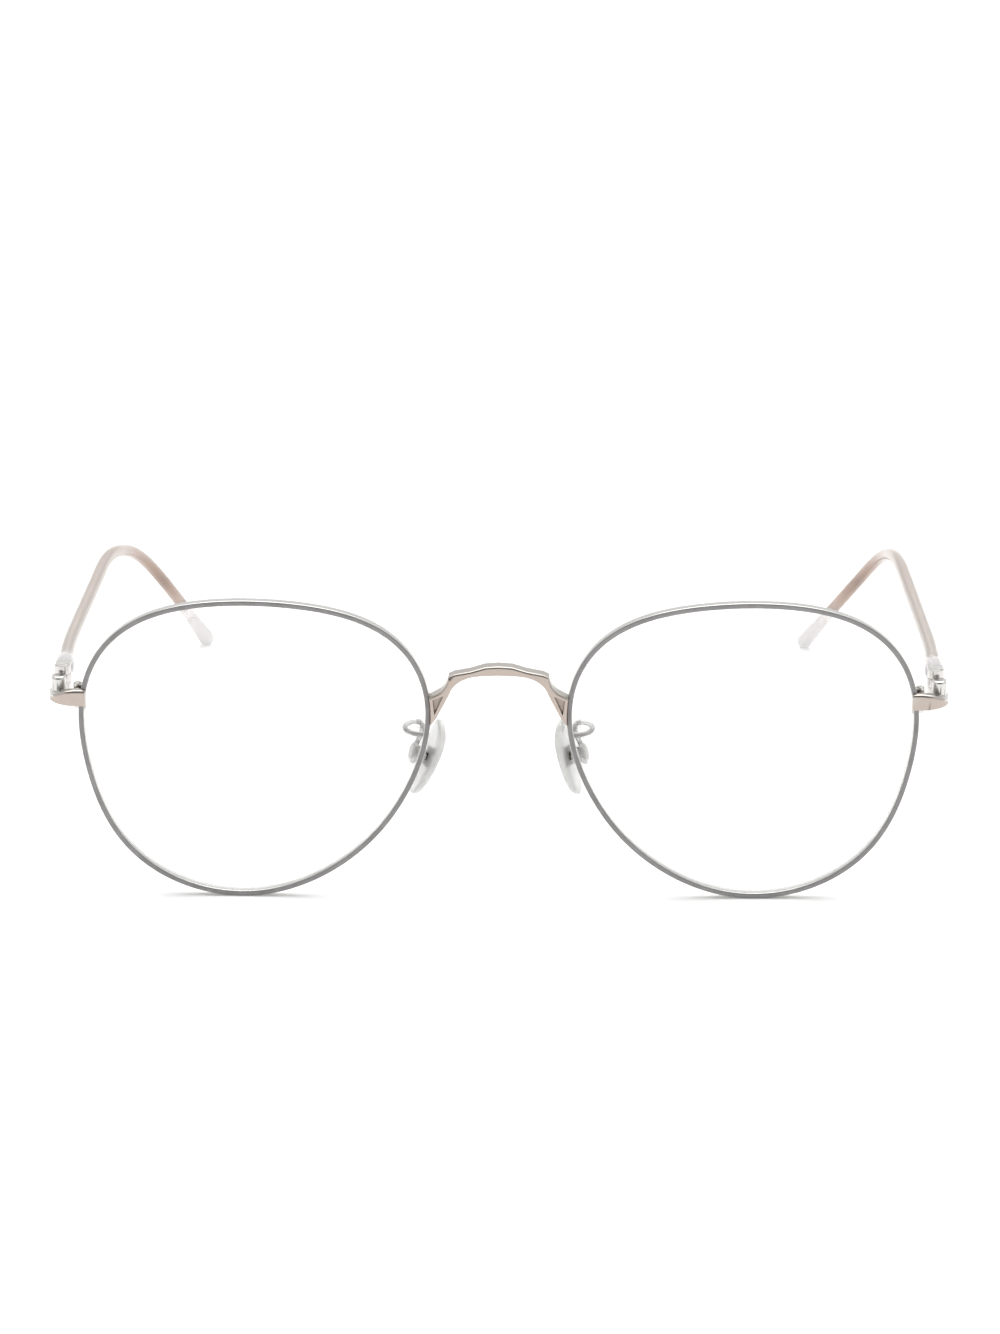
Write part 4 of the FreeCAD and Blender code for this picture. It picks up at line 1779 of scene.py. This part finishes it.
# ---------------------------------------------------------------- studio
@dataclass
class Studio:
    """White paper, soft light and the camera.

    Attributes:
        floor_size: Side of the square floor in metres.
        target: Point that the camera circles, in mm from the front plane.
        distance: Distance of the camera from it in mm.
        elevation_deg: Height angle of the camera.
        azimuth_deg: Turn of the camera about the upright axis.
        lift_deg: How far the camera looks above the target.
        roll_deg: Roll of the camera.
        aim_turn_deg: How far the camera looks to the side of the target.
        focal_mm: Focal length.
        sensor_mm: Width of the sensor.
        room: Brightness of the walls.
        overhead: Brightness of the ceiling panel.
        dark_side: Brightness of the unlit stretch behind the camera.
        dark_height_deg: Height angle of its middle.
        dark_spread_deg: Angles at which it starts and is full.
        panel_way: Direction of the ceiling panel.
        panel_spread_deg: Angles at which the panel starts and is full.
        sun: Strength of the overhead softbox.
        sun_spread_deg: Angle that the softbox fills.
        sun_tilt_deg: Turn of the softbox about X, Y and Z.
    """

    floor_size: float = 12.0
    target: tuple[float, float, float] = (0.0, 0.0, 20.0)
    distance: float = 580.0
    elevation_deg: float = 18.87
    azimuth_deg: float = 0.25
    lift_deg: float = 1.517
    roll_deg: float = 0.23
    aim_turn_deg: float = -0.018
    focal_mm: float = 105.76
    sensor_mm: float = 36.0
    room: float = 0.9
    overhead: float = 2.6
    dark_side: float = 0.12
    dark_height_deg: float = 42.0
    dark_spread_deg: tuple[float, float] = (46.0, 26.0)
    panel_way: tuple[float, float, float] = (0.0, 0.25, 1.0)
    panel_spread_deg: tuple[float, float] = (34.0, 20.0)
    sun: float = 0.75
    sun_spread_deg: float = 70.0
    sun_tilt_deg: tuple[float, float, float] = (-12.0, 6.0, 0.0)

    def make_floor(self) -> None:
        """Lay the paper floor."""
        half = self.floor_size / 2
        signs = ((-1, -1), (1, -1), (1, 1), (-1, 1))
        corners = [Vector((x * half, y * half, 0.0)) for x, y in signs]
        mesh_piece("paper_floor", corners, [(0, 1, 2, 3)], [PAPER])

    def patch(
        self,
        tree: bpy.types.NodeTree,
        look: Socket,
        centre: Vector,
        edge_deg: float,
        core_deg: float,
    ) -> Socket:
        """Soft round patch of the room around a direction.

        Args:
            tree: World tree.
            look: Direction that is looked in.
            centre: Direction of the patch's middle.
            edge_deg: Angle from the middle at which the patch fades to nothing.
            core_deg: Angle from the middle inside which it is full.

        Returns:
            Socket that runs from 0 outside to 1 inside.
        """
        facing = add_node(
            tree,
            "ShaderNodeVectorMath",
            {"operation": "DOT_PRODUCT"},
            {0: look, 1: centre.normalized()},
        )
        share = add_node(
            tree,
            "ShaderNodeMapRange",
            {"interpolation_type": "SMOOTHSTEP"},
            {
                "Value": facing.outputs["Value"],
                "From Min": math.cos(math.radians(edge_deg)),
                "From Max": math.cos(math.radians(core_deg)),
            },
        )
        return share.outputs["Result"]

    def make_room(self) -> None:
        """White room with a bright ceiling panel and an unlit stretch on the camera's side."""
        world = bpy.data.worlds.new("studio")
        bpy.context.scene.world = world
        world.use_nodes = True
        tree = world.node_tree
        tree.nodes.clear()
        look = add_node(tree, "ShaderNodeTexCoord", {}, {}).outputs["Generated"]
        height = math.radians(self.dark_height_deg)
        unlit = Vector((0.0, -math.cos(height), math.sin(height)))
        dark = self.patch(tree, look, unlit, *self.dark_spread_deg)
        panel = self.patch(tree, look, Vector(self.panel_way), *self.panel_spread_deg)

        def grey(value: float) -> tuple[float, float, float, float]:
            """Colour of one brightness."""
            return (value, value, value, 1.0)

        walls = blend(tree, dark, grey(self.room), grey(self.dark_side))
        lit = add_node(
            tree,
            "ShaderNodeBackground",
            {},
            {"Color": blend(tree, panel, walls, grey(self.overhead)), "Strength": 1.0},
        )
        plain = add_node(
            tree, "ShaderNodeBackground", {}, {"Color": grey(1.0), "Strength": 1.0}
        )
        ray = add_node(tree, "ShaderNodeLightPath", {}, {})
        both = add_node(
            tree,
            "ShaderNodeMixShader",
            {},
            {0: ray.outputs["Is Camera Ray"], 1: lit.outputs[0], 2: plain.outputs[0]},
        )
        add_node(tree, "ShaderNodeOutputWorld", {}, {"Surface": both.outputs[0]})

    def make_sun(self) -> None:
        """One broad soft source overhead, a little behind the glasses."""
        light = bpy.data.lights.new("overhead_softbox", "SUN")
        light.energy = self.sun
        light.angle = math.radians(self.sun_spread_deg)
        lamp = bpy.data.objects.new("overhead_softbox", light)
        lamp.rotation_euler = Euler([math.radians(turn) for turn in self.sun_tilt_deg])
        bpy.context.scene.collection.objects.link(lamp)

    def make_camera(self) -> None:
        """Camera above the front, looking down at the glasses."""
        data = bpy.data.cameras.new("camera")
        data.lens = self.focal_mm
        data.sensor_width = self.sensor_mm
        data.clip_start = 0.01
        data.clip_end = 100.0
        camera = bpy.data.objects.new("camera", data)
        tilt, turn = math.radians(self.elevation_deg), math.radians(self.azimuth_deg)
        back = Vector(
            (math.sin(turn) * math.cos(tilt), -math.cos(turn) * math.cos(tilt), math.sin(tilt))
        )
        camera.location = at(*self.target) + back * self.distance * MM
        level = Matrix.Rotation(turn + math.radians(self.aim_turn_deg), 4, "Z")
        pitch = Matrix.Rotation(math.pi / 2 - tilt + math.radians(self.lift_deg), 4, "X")
        roll = Matrix.Rotation(math.radians(self.roll_deg), 4, "Z")
        camera.rotation_euler = (level @ pitch @ roll).to_euler()
        bpy.context.scene.collection.objects.link(camera)
        bpy.context.scene.camera = camera

    def make(self) -> None:
        """Build the whole studio."""
        bpy.context.scene.view_settings.view_transform = "Standard"
        self.make_floor()
        self.make_room()
        self.make_sun()
        self.make_camera()


def main() -> None:
    """Load the CAD frame and build every sub-assembly around it."""
    logging.basicConfig(level=logging.INFO, format="%(name)s: %(message)s")
    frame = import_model()
    nodes = frame["nodes"]
    Studio().make()
    front = Front()
    front.make_rims()
    front.make_lenses()
    front.make_hardware(nodes)
    Temples().make(nodes)
    NosePads().make(nodes)


if __name__ == "__main__":
    main()
